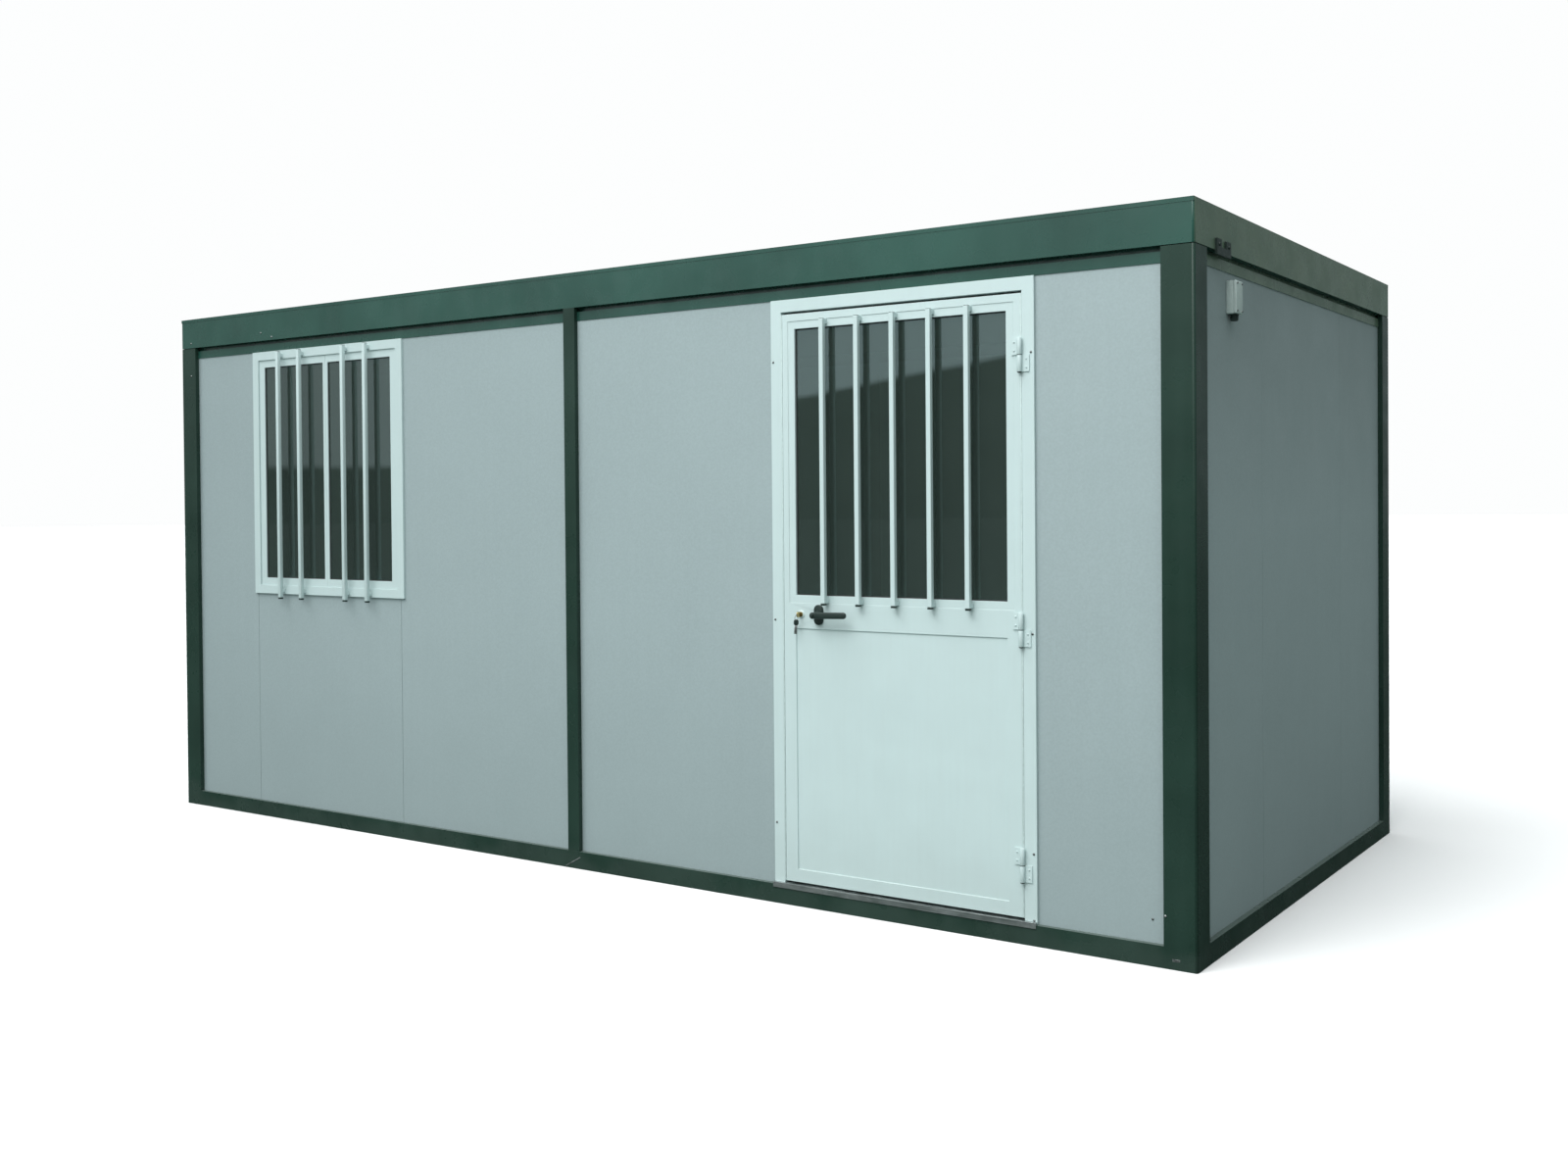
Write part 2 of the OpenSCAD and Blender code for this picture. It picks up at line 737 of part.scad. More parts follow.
module window_glass() {
    side = window_side_w + sash_stile_w;
    z0 = pocket_z0 + window_lip_w + sash_rail_h;
    z1 = pocket_z1 - window_lip_w - sash_rail_h;
    m = meeting_stile_w / 2;
    inset_v = (sash_t - pane_t) / 2;
    color("#33403c") on_front() {
        slab(window_u0 + side, window_x - m, sash_v + inset_v,
            sash_v + inset_v + pane_t, z0, z1);
        slab(window_x + m, window_u1 - side, sash_v + inset_v,
            sash_v + inset_v + pane_t, z0, z1);
    }
}

// ---------------------------------------------------------------- fittings on the ends

module inlet_box() {
    z1 = band_z - inlet_drop;
    color("#a7b3b1") on_right() translate([-half_w, 0, 0])
        slab(inlet_y, inlet_y + inlet_w, panel_recess - inlet_d, panel_recess, z1 - inlet_h, z1);
}

// The round inlet that faces down from the box.
module power_inlet() {
    color(black) on_right()
        translate([-half_w + inlet_y + plug_y, panel_recess - inlet_d / 2,
            band_z - inlet_drop - inlet_h - plug_l])
            cylinder(h = plug_l, r = plug_r);
}

// A flat bracket on the fascia's lower edge, with two prongs for the cable.
module cable_bracket() {
    color(black) on_right() translate([bracket_y - half_w, -bracket_t, soffit_z - bracket_drop]) {
        cube([bracket_w, bracket_t, bracket_foot_h]);
        for (u = [0, bracket_w - bracket_prong_w])
            translate([u, 0, 0]) cube([bracket_prong_w, bracket_t, bracket_foot_h + bracket_prong_h]);
    }
}

// A stud through a nut on the left end's front post.
module earth_stud() {
    nut_t = 10;
    color(steel) on_left() translate([half_w - post_face_w / 2, 0, stud_z])
        rotate([90, 0, 0]) {
            cylinder(h = stud_l, r = stud_r);
            cylinder(h = nut_t, r = 1.8 * stud_r, $fn = 6);
        }
}

base_rail_front();
base_rail_back();
base_rail_left();
base_rail_right();
floor_joists();
floor_deck();
corner_post_front_left();
corner_post_front_right();
corner_post_back_left();
corner_post_back_right();
mid_post_front();
mid_post_back();
roof_beam_front();
roof_beam_back();
roof_beam_left();
roof_beam_right();
head_rails();
roof_panels();
wall_panel_front_left();
wall_panel_under_window();
wall_panel_beside_window();
wall_panel_beside_door();
wall_panel_front_right();
wall_panels_back();
wall_panels_left();
wall_panels_right();
door_frame();
door_threshold();
door_leaf();
door_glass();
door_lower_panel();
door_bars();
door_lever_plates();
door_lever();
lock_cylinder();
hinges_frame_side();
hinges_leaf_side();
window_frame();
window_sash_left();
window_sash_right();
window_glass();
inlet_box();
power_inlet();
cable_bracket();
earth_stud();
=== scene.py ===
"""Finishes the portable site cabin: paint, glass, bars, seals, screws, lever, keys, studio."""

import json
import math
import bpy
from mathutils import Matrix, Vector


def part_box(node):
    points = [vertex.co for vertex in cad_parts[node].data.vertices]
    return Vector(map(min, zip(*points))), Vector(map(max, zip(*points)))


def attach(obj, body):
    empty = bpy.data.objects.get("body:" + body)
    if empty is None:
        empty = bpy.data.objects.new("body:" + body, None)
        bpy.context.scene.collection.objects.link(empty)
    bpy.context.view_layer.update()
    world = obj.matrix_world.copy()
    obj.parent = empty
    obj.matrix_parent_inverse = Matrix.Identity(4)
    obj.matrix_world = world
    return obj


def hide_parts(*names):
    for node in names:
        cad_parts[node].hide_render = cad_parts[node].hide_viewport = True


bl_info = {
    "name": "Portable Site Cabin",
    "version": (1, 0, 0),
    "blender": (4, 5, 0),
    "location": "3D View > Sidebar > Cabin",
    "description": "Gives the packed site cabin its finishes and its small fittings",
    "category": "Object",
}

import bmesh
import bpy
from bpy.props import FloatProperty, FloatVectorProperty, IntProperty, PointerProperty
from mathutils import Matrix, Vector

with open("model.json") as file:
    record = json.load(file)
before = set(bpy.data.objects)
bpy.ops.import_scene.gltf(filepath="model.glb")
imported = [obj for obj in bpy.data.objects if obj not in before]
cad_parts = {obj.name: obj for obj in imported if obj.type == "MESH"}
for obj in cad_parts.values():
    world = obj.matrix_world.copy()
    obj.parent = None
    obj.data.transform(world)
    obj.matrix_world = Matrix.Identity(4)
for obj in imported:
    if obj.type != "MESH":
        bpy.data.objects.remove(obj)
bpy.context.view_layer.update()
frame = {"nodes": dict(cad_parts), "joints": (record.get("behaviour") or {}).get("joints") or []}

MM = 0.001
SHARP = math.radians(50)  # edges that turn more than this are rounded
SMOOTH = math.radians(38)  # faces that turn less than this are shaded as one
GASKET_DEPTH = 3 * MM
OUT = Vector((0, -1, 0))  # out of the front wall
UP = Vector((0, 0, 1))
RIGHT = Vector((1, 0, 0))

# ---------------------------------------------------------------- places taken from the frame

post_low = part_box("corner_post_front_right")[0]
leaf_low, leaf_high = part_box("door_leaf")
door_low, door_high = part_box("door_frame")
window_low, window_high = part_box("window_frame")
beam_low, beam_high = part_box("roof_beam_front")
front_y = post_low.y  # the faces of the posts
frame_y = leaf_low.y  # the faces of the door and window frames, and of the leaf
mid_x = (window_low.x + window_high.x) / 2


# ---------------------------------------------------------------- colours


def linear(code):
    """An sRGB hex value as the linear colour that a shader takes."""
    parts = [int(code[i : i + 2], 16) / 255 for i in (1, 3, 5)]
    bent = [p / 12.92 if p <= 0.04045 else ((p + 0.055) / 1.055) ** 2.4 for p in parts]
    return (*bent, 1.0)


def colour_property(name, description, code):
    return FloatVectorProperty(
        name=name,
        description=description,
        subtype="COLOR",
        size=4,
        min=0.0,
        max=1.0,
        default=linear(code),
    )


def length_property(name, description, millimetres):
    return FloatProperty(
        name=name,
        description=description,
        default=millimetres * MM,
        min=0.0,
        unit="LENGTH",
        subtype="DISTANCE",
    )


class CabinSizes(bpy.types.PropertyGroup):
    """Sizes of what is added to the frame."""

    meeting_stile: length_property("Meeting stile", "Width of one meeting stile", 16)
    bar_size: length_property("Bar", "Side of a window bar", 18)
    bar_standoff: length_property("Bar standoff", "Gap from the window frame to its bars", 12)
    bar_offset: length_property("Inner bars", "From the window's middle to an inner bar", 153)
    bar_pitch: length_property("Outer bars", "From an inner window bar to an outer one", 150)
    bar_below: length_property("Bar foot", "How far the bars run below the window frame", 15)
    bar_above: length_property("Bar top", "How far the bars stop below the frame's top", 8)
    edge: length_property("Edge", "Radius of a folded or drawn edge", 0.35)
    gasket: length_property("Gasket", "Width of a glazing gasket", 4)
    screw: length_property("Screw head", "Radius of a small screw's head", 4.5)
    trim_drop: length_property("Edge trim", "Depth of the trim on the top of the fascia", 13)
    trim_sheet: length_property("Trim sheet", "Thickness of that trim", 1.2)
    key_length: length_property("Key", "Length of a key", 52)
    roof_screw_rows: IntProperty(
        name="Roof screw rows", description="Rows of roofing screws", default=4, min=2, max=8
    )


class CabinFinishes(bpy.types.PropertyGroup):
    """Colours of the cabin's finishes."""

    beam_green: colour_property("Roof beam green", "Enamel on the roof beams", "#1f4b41")
    post_green: colour_property("Post green", "Enamel on the posts and rails", "#1d352c")
    panel_grey: colour_property("Panel grey", "Coil coating on the panels", "#a0b0b2")
    frame_white: colour_property("Frame white", "Powder coat on the door and window", "#c7dada")
    rubber: colour_property("Rubber", "Seals and gaskets", "#23292a")
    brush: colour_property("Brush seal", "Pale seals at the door's sides", "#bccdcc")
    lever_black: colour_property("Lever black", "Nylon of the lever and the inlet", "#1b2c28")
    box_grey: colour_property("Box grey", "Polycarbonate of the inlet box", "#b4c2bf")
    floor_pale: colour_property("Studio floor", "Floor that the cabin stands on", "#f4f5f5")


# ---------------------------------------------------------------- materials


def add(tree, kind, sockets=None, **settings):
    """Adds a node with its settings; a socket takes a value, or another node's output as a link."""
    made = tree.nodes.new(kind)
    for name, value in settings.items():
        setattr(made, name, value)
    for name, value in (sockets or {}).items():
        if isinstance(value, bpy.types.NodeSocket):
            tree.links.new(value, made.inputs[name])
        else:
            made.inputs[name].default_value = value
    return made


def per_mm(millimetres):
    """The scale at which a pattern on Object coordinates, in metres, repeats every so many mm."""
    return 1 / (millimetres * MM)


def start(name, **sockets):
    """A new material: its node tree, its Principled shader and its Object coordinates."""
    material = bpy.data.materials.new(name)
    material.use_nodes = True
    tree = material.node_tree
    shader = tree.nodes["Principled BSDF"]
    for socket, value in sockets.items():
        shader.inputs[socket.replace("_", " ")].default_value = value
    place = add(tree, "ShaderNodeTexCoord").outputs["Object"]
    return material, tree, shader, place


def toned(colour, share, lift=0.0):
    """A colour made darker or paler by a share, and then lifted."""
    return [c * share + lift for c in colour[:3]] + [1.0]


def span(low, high, to_low=0.0, to_high=1.0):
    """The sockets that turn one range into another."""
    return {"From Min": low, "From Max": high, "To Min": to_low, "To Max": to_high}


def layered(tree, colour, *coats):
    """Lays coats of (amount, colour) over a colour, one after another."""
    for amount, coat in coats:
        sockets = {0: amount, 6: colour, 7: coat}
        colour = add(tree, "ShaderNodeMix", sockets, data_type="RGBA").outputs[2]
    return colour


def clouded(tree, place, size_mm, low, high, detail=3.0, stretch=(1, 1, 1)):
    """A soft random factor with patches of about size_mm, between low and high."""
    spot = add(tree, "ShaderNodeMapping", {"Vector": place, "Scale": stretch}).outputs[0]
    sockets = {"Vector": spot, "Scale": per_mm(size_mm), "Detail": detail}
    noise = add(tree, "ShaderNodeTexNoise", sockets).outputs[0]
    sockets = {"Value": noise, **span(0.3, 0.7, low, high)}
    return add(tree, "ShaderNodeMapRange", sockets).outputs[0]


def facing(tree, axis, most):
    """An amount that grows to most on what faces along an axis."""
    normal = add(tree, "ShaderNodeNewGeometry").outputs["Normal"]
    along = add(tree, "ShaderNodeSeparateXYZ", {0: normal}).outputs[axis]
    sockets = {"Value": along, **span(0.6, 1.0, 0.0, most)}
    return add(tree, "ShaderNodeMapRange", sockets).outputs[0]


def right_end_dust_and_painted_light(tree, place, most):
    """The amount of a patchy layer on what faces the right end: on the enamel a film of dust and
    algae that also carries painted sheen, on the panels painted shade under the eaves.
    """
    return facing(tree, "X", clouded(tree, place, 300, most * 0.65, most, 4.0))


def splashed(tree, place, top_mm, most):
    """The amount of dirt splashed up from the ground: most at the foot, and ragged at its top."""
    height = add(tree, "ShaderNodeSeparateXYZ", {0: place}).outputs["Z"]
    ragged = clouded(tree, place, 160, -0.06, 0.06, 4.0)
    lifted = add(tree, "ShaderNodeMath", {0: height, 1: ragged}, operation="ADD").outputs[0]
    sockets = {"Value": lifted, **span(0.0, top_mm * MM, most, 0.0)}
    kind = "ShaderNodeMapRange"
    return add(tree, kind, sockets, interpolation_type="SMOOTHSTEP").outputs[0]


def surface(tree, shader, place, colour, gloss, *layers):
    """Links a shader's colour and roughness, and bumps it with layers of (size in mm, depth in
    mm, stretch)."""
    tree.links.new(colour, shader.inputs["Base Color"])
    if gloss:
        tree.links.new(gloss, shader.inputs["Roughness"])
    normal = None
    for size_mm, depth_mm, *stretch in layers:
        height = clouded(tree, place, size_mm, 0.0, 1.0, 2.0, *stretch)
        sockets = {"Height": height, "Distance": depth_mm * MM, "Strength": 1.0}
        if normal:
            sockets["Normal"] = normal
        normal = add(tree, "ShaderNodeBump", sockets).outputs[0]
    if normal:
        tree.links.new(normal, shader.inputs["Normal"])


def enamel(name, colour, roughness, gloss_level, film):
    """Alkyd enamel sprayed on folded steel: it has a soft gloss with a light orange peel, slow
    differences in its depth of colour and faint runs, and it chalks where it faces the sky. What
    faces the right end is made paler and warmer by a film of dust, which is also a painted sheen
    for the brighter gloss that end shows."""
    material, tree, shader, place = start(name, IOR=1.5, Specular_IOR_Level=gloss_level)
    body = layered(
        tree,
        toned(colour, 0.82),
        (clouded(tree, place, 420, 0.0, 1.0), toned(colour, 1.18, 0.004)),
        (clouded(tree, place, 60, 0.0, 0.05, 3.0, (1, 1, 0.1)), linear("#56706a")),
        # film of dust on what faces the right end, also a painted sheen that lightens that end
        (right_end_dust_and_painted_light(tree, place, film), linear("#6a7b66")),
        (splashed(tree, place, 110, 0.2), linear("#515c57")),
        (facing(tree, "Z", 0.45), linear("#6f7b76")),
    )
    gloss = clouded(tree, place, 90, roughness - 0.05, roughness + 0.08)
    surface(tree, shader, place, body, gloss, (9, 0.03), (260, 0.2))
    return material


def coil_coating(colour):
    """Polyester coil coating on 0.5 mm steel skins over foam: an even satin with a fine grain,
    drawn coarser than it is so that it shows, and the slow waves of a thin skin. Rain leaves faint
    upright streaks and the foot is duller. The top of the right end is darkened with painted shade,
    standing in for the shade under the eaves."""
    material, tree, shader, place = start("coil_coated_panel", IOR=1.5)
    body = layered(
        tree,
        toned(colour, 0.9),
        (clouded(tree, place, 7, 0.0, 1.0, 2.0), colour),
        (clouded(tree, place, 650, 0.0, 0.2), linear("#a6b7b9")),
        (clouded(tree, place, 34, 0.0, 0.14, 3.0, (1, 1, 0.04)), linear("#94a4a6")),
        (splashed(tree, place, 1100, 0.4), linear("#8e9d9e")),
    )
    # painted shade: on what faces the right end, the panels get darker towards the top, under the
    # eaves
    height = add(tree, "ShaderNodeSeparateXYZ", {0: place}).outputs["Z"]
    eaves = {"Value": height, **span(1.4, 2.35, 0.0, 0.5)}
    eaves_shade_amount = add(tree, "ShaderNodeMapRange", eaves).outputs[0]
    eaves_painted_shade = layered(tree, body, (eaves_shade_amount, linear("#626d6b")))
    body = layered(
        tree,
        body,
        (right_end_dust_and_painted_light(tree, place, 1.0), eaves_painted_shade),
        (facing(tree, "Z", 0.5), linear("#9a9f9a")),
    )
    gloss = clouded(tree, place, 240, 0.42, 0.56)
    surface(tree, shader, place, body, gloss, (5, 0.05), (380, 1.1))
    return material


def powder_coat(colour):
    """White polyester powder baked on aluminium and steel sections: smooth, with a slight gloss
    and hardly any peel, greyer where hands and rain reach it."""
    material, tree, shader, place = start("white_powder_coat", IOR=1.5)
    body = layered(
        tree,
        toned(colour, 0.97),
        (clouded(tree, place, 130, 0.0, 1.0), colour),
        (clouded(tree, place, 18, 0.0, 0.1, 3.0, (1, 1, 0.05)), linear("#b9c6c4")),
        (splashed(tree, place, 420, 0.22), linear("#a7b3b0")),
        (facing(tree, "Z", 0.4), linear("#b6bdb9")),
    )
    gloss = clouded(tree, place, 60, 0.3, 0.42)
    surface(tree, shader, place, body, gloss, (6, 0.03), (300, 0.35))
    return material


def float_glass():
    """Grey-green float glass with a faint blue solar coating: clear and flat, with the slow
    wander of a thin pane and a film of dust that dulls it a little."""
    material, tree, shader, place = start(
        "tinted_float_glass",
        IOR=1.76,
        Transmission_Weight=0.84,
        Roughness=0.0,
        Specular_Tint=linear("#ddfafb"),
    )
    dusty = clouded(tree, place, 300, 0.0, 1.0), linear("#74877f")
    tint = layered(tree, linear("#6d8078"), dusty)
    surface(tree, shader, place, tint, None, (420, 0.06))
    return material


def moulded_nylon(name, colour, roughness):
    """Glass-filled nylon or polycarbonate from a mould: an even fine spark grain and no seams
    that show."""
    material, tree, shader, place = start(name, IOR=1.5)
    worn = clouded(tree, place, 26, 0.0, 0.6), toned(colour, 1.18, 0.005)
    gloss = clouded(tree, place, 12, roughness - 0.05, roughness + 0.07)
    surface(tree, shader, place, layered(tree, colour, worn), gloss, (1.6, 0.03))
    return material


def seal_rubber(name, colour):
    """Extruded EPDM or brush seal: dull, with a whitish bloom."""
    material, tree, shader, place = start(name, IOR=1.5)
    bloom = clouded(tree, place, 14, 0.0, 0.5), toned(colour, 1.3, 0.02)
    gloss = clouded(tree, place, 8, 0.62, 0.8)
    surface(tree, shader, place, layered(tree, colour, bloom), gloss, (3, 0.04))
    return material


def zinc_steel():
    """Hot-dip galvanised steel: grey metal with flat crystals of about 12 mm, each a slightly
    different grey, and a dull white bloom."""
    material, tree, shader, place = start("galvanised_steel", Metallic=1.0)
    sockets = {"Vector": place, "Scale": per_mm(12), "Randomness": 1.0}
    crystal = add(tree, "ShaderNodeTexVoronoi", sockets).outputs["Color"]
    grey = add(tree, "ShaderNodeSeparateColor", {0: crystal}).outputs[0]
    bloom = clouded(tree, place, 200, 0.0, 0.4), linear("#9fa3a1")
    body = layered(tree, linear("#8d9292"), (grey, linear("#b4b9b9")), bloom)
    sockets = {"Value": grey, **span(0.0, 1.0, 0.38, 0.56)}
    gloss = add(tree, "ShaderNodeMapRange", sockets).outputs[0]
    surface(tree, shader, place, body, gloss, (16, 0.05))
    return material


def mill_aluminium():
    """Extruded aluminium with its mill finish: a bright grey with fine die lines along it,
    scuffed where boots cross it."""
    material, tree, shader, place = start("mill_finish_aluminium", Metallic=1.0)
    along = (0.02, 1, 1)
    die_lines = clouded(tree, place, 4, 0.0, 1.0, 2.0, along), linear("#ccd2d1")
    scuffs = clouded(tree, place, 60, 0.0, 0.35), linear("#7f8583")
    body = layered(tree, linear("#a5adad"), die_lines, scuffs)
    gloss = clouded(tree, place, 22, 0.32, 0.52)
    surface(tree, shader, place, body, gloss, (4, 0.02, along))
    return material


def lock_brass():
    """Turned brass, satin from its tool marks and browner in patches from handling."""
    material, tree, shader, place = start("turned_brass", Metallic=1.0)
    handled = clouded(tree, place, 7, 0.0, 1.0), linear("#a3905f")
    body = layered(tree, linear("#d2bf90"), handled)
    gloss = clouded(tree, place, 4, 0.26, 0.42)
    surface(tree, shader, place, body, gloss, (0.8, 0.01, (1, 1, 0.2)))
    return material


def nickel_plate():
    """Nickel plate on keys and screw heads: bright, with small scratches."""
    material, tree, shader, place = start("nickel_plate", Metallic=1.0)
    tarnish = clouded(tree, place, 9, 0.0, 1.0), linear("#5e6261")
    body = layered(tree, linear("#8d908f"), tarnish)
    gloss = clouded(tree, place, 3, 0.24, 0.44)
    surface(tree, shader, place, body, gloss, (1.2, 0.01))
    return material


def vinyl_deck():
    """Grey vinyl on plywood: a matt sheet with a fine fleck and dull walked paths."""
    material, tree, shader, place = start("vinyl_on_plywood", IOR=1.5)
    sockets = {"Vector": place, "Scale": per_mm(6)}
    fleck = add(tree, "ShaderNodeTexVoronoi", sockets, feature="F1").outputs["Distance"]
    sockets = {"Value": fleck, **span(0.12, 0.3)}
    speck = add(tree, "ShaderNodeMapRange", sockets).outputs[0]
    paths = clouded(tree, place, 500, 0.0, 0.4), linear("#5b5d58")
    body = layered(tree, linear("#8a8c85"), (speck, linear("#6c6f6a")), paths)
    gloss = clouded(tree, place, 300, 0.5, 0.7)
    surface(tree, shader, place, body, gloss, (4, 0.04))
    return material


def studio_floor(colour):
    """Matt seamless studio floor: nearly white, but a middle grey for the light that it sends up
    and a dark ground where it is mirrored, as a yard would be."""
    material, tree, shader, place = start("studio_floor", IOR=1.3, Roughness=0.9)
    pale = layered(tree, colour, (clouded(tree, place, 4000, 0.0, 0.3), linear("#f0f1f1")))
    ray = add(tree, "ShaderNodeLightPath").outputs
    yard = layered(tree, linear("#3a4541"), (ray["Is Diffuse Ray"], linear("#76827e")))
    body = layered(tree, yard, (ray["Is Camera Ray"], pale))
    surface(tree, shader, place, body, None)
    return material


finish = {}


def make_finishes(colours):
    """All the cabin's materials, by the names that the operators use."""
    finish["beam"] = enamel("green_enamel_beams", colours.beam_green, 0.27, 0.42, 0.85)
    finish["post"] = enamel("green_enamel_posts", colours.post_green, 0.28, 0.26, 0.0)
    finish["panel"] = coil_coating(colours.panel_grey)
    finish["white"] = powder_coat(colours.frame_white)
    finish["glass"] = float_glass()
    finish["black"] = moulded_nylon("black_nylon", colours.lever_black, 0.42)
    finish["box"] = moulded_nylon("grey_polycarbonate", colours.box_grey, 0.48)
    finish["rubber"] = seal_rubber("epdm_rubber", colours.rubber)
    finish["pale_rubber"] = seal_rubber("pale_brush_seal", colours.brush)
    finish["zinc"] = zinc_steel()
    finish["aluminium"] = mill_aluminium()
    finish["brass"] = lock_brass()
    finish["nickel"] = nickel_plate()
    finish["deck"] = vinyl_deck()


# ---------------------------------------------------------------- mesh helpers


def rounded(bm, geom, radius, segments=2, affect="EDGES"):
    """Rounds edges, or corners, to a radius."""
    bmesh.ops.bevel(
        bm,
        geom=geom,
        offset=radius,
        segments=segments,
        profile=0.5,
        affect=affect,
        material=-1,
    )


def sharp_edges(bm):
    return [e for e in bm.edges if e.calc_face_angle(0) > SHARP]


def edges_along(bm, axis):
    """The edges that run along one axis, by its number."""
    return [e for e in bm.edges if abs(e.verts[0].co[axis] - e.verts[1].co[axis]) > 1 * MM]


def brick(bm, size):
    """A plain box round the origin, to be shaped; gives its vertices."""
    verts = bmesh.ops.create_cube(bm, size=1.0)["verts"]
    bmesh.ops.scale(bm, vec=size, verts=verts)
    return verts


def block(bm, low, high, edge=0.0, segments=2):
    """A box between two corners, its edges rounded to a radius."""
    low, high = Vector(low), Vector(high)
    verts = brick(bm, high - low)
    bmesh.ops.translate(bm, vec=(low + high) / 2, verts=verts)
    if edge:
        rounded(bm, list({e for v in verts for e in v.link_edges}), edge, segments)


def merge_part(bm, part, place):
    """Closes a part's doubles, turns its faces outwards, places it and adds it to a piece."""
    bmesh.ops.remove_doubles(part, verts=part.verts, dist=1e-6)
    bmesh.ops.recalc_face_normals(part, faces=part.faces)
    bmesh.ops.transform(part, matrix=place, verts=part.verts)
    mesh = bpy.data.meshes.new("part")
    part.to_mesh(mesh)
    part.free()
    bm.from_mesh(mesh)
    bpy.data.meshes.remove(mesh)


def shifted(x, y, z):
    return Matrix.Translation((x, y, z))


def turn(degrees, axis):
    return Matrix.Rotation(math.radians(degrees), 4, axis)


def towards(point, direction):
    """Puts what was made round +Z at a point, with its +Z along a direction."""
    aim = Vector(direction).to_track_quat("Z", "Y").to_matrix().to_4x4()
    return Matrix.Translation(point) @ aim


def spun(bm, part, geom, place, steps):
    """Spins a section fully round Z and adds the closed shape to a piece."""
    bmesh.ops.spin(
        part,
        geom=geom,
        cent=(0, 0, 0),
        axis=UP,
        angle=math.tau,
        steps=steps,
        use_merge=True,
    )
    merge_part(bm, part, place)


def turned(bm, outline, place, steps=16):
    """Spins an outline of (radius, height) in mm round Z, from one pole to the other."""
    part = bmesh.new()
    verts = [part.verts.new((r * MM, 0, h * MM)) for r, h in outline]
    edges = [part.edges.new(pair) for pair in zip(verts, verts[1:])]
    spun(bm, part, verts + edges, place, steps)


def ring_of(bm, low, high, width, depth, place, corner=0.0, edge=0.0):
    """A flat rectangular ring between two (x, y) corners, as deep as depth along +Z."""
    part = bmesh.new()
    points = [(low[0], low[1]), (high[0], low[1]), (high[0], high[1]), (low[0], high[1])]
    part.faces.new([part.verts.new((x, y, 0)) for x, y in points])
    if corner:
        rounded(part, part.verts[:], corner, 5, "VERTICES")
    part.normal_update()  # an inset goes by the face's normal, which a new face hasn't got yet
    inner = part.faces[:]
    bmesh.ops.inset_region(
        part, faces=inner, thickness=width, use_even_offset=True, use_boundary=True
    )
    bmesh.ops.delete(part, geom=inner, context="FACES_ONLY")
    raised = bmesh.ops.extrude_face_region(part, geom=part.faces[:])["geom"]
    lifted = [g for g in raised if isinstance(g, bmesh.types.BMVert)]
    bmesh.ops.translate(part, vec=(0, 0, depth), verts=lifted)
    if edge:
        bmesh.ops.recalc_face_normals(part, faces=part.faces)
        rounded(part, sharp_edges(part), edge)
    merge_part(bm, part, place)


def gaskets(bm, x_low, x_high, low, high, width):
    """A gasket on the outer and the inner face of a pane of glass."""
    for y in (low.y, high.y + GASKET_DEPTH):
        flat = shifted(0, y, 0) @ turn(90, "X")
        ring_of(bm, (x_low, low.z), (x_high, high.z), width, GASKET_DEPTH, flat, edge=0.8 * MM)


def pan_screw(bm, point, direction, radius_mm):
    """A small pan-head screw with a round driver recess, seated on a surface."""
    r = radius_mm
    outline = [
        (0, 0.22 * r),
        (0.3 * r, 0.22 * r),
        (0.34 * r, 0.62 * r),
        (0.7 * r, 0.55 * r),
        (0.96 * r, 0.26 * r),
        (r, -0.1),
        (0, -0.1),
    ]
    turned(bm, outline, towards(point, direction), 12)


def dome_bolt(bm, point, direction, radius_mm, washer_mm):
    """A domed bolt head on a washer."""
    w, r = washer_mm, radius_mm
    outline = [(0, 0.75 * r), (0.55 * r, 0.62 * r), (0.92 * r, 0.3 * r), (r, 1.2)]
    outline += [(w, 1.2), (w + 0.2, 0.6), (w + 0.2, -0.1), (0, -0.1)]
    turned(bm, outline, towards(point, direction), 14)


def placed(name, data, place=None):
    """Puts an object in the scene."""
    made = bpy.data.objects.new(name, data)
    if place:
        made.matrix_world = place
    bpy.context.scene.collection.objects.link(made)
    return made


def mesh_of(name, bm, material):
    """Turns a finished bmesh into a mesh with a material."""
    mesh = bpy.data.meshes.new(name)
    bm.to_mesh(mesh)
    bm.free()
    mesh.materials.append(finish[material])
    return mesh


def make_piece(name, bm, material, body):
    """Turns a finished bmesh into an object that rides on a body."""
    mesh = mesh_of(name, bm, material)
    mesh.polygons.foreach_set("use_smooth", [True] * len(mesh.polygons))
    mesh.set_sharp_from_angle(angle=SMOOTH)
    made = placed(name, mesh)
    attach(made, body)
    return made


def dress(nodes, material, edge=0.0):
    """Gives CAD nodes a material and, where edge is set, softened edges."""
    for name in nodes:
        node = frame["nodes"][name]
        for place in node.material_slots:
            place.material = finish[material]
        if edge:
            weld = node.modifiers.new("weld", "WELD")
            weld.merge_threshold = 1e-5
            bevel = node.modifiers.new("edges", "BEVEL")
            bevel.width = edge
            bevel.segments = 2
            bevel.limit_method = "ANGLE"
            bevel.angle_limit = SHARP
            bevel.harden_normals = True


# ---------------------------------------------------------------- operators


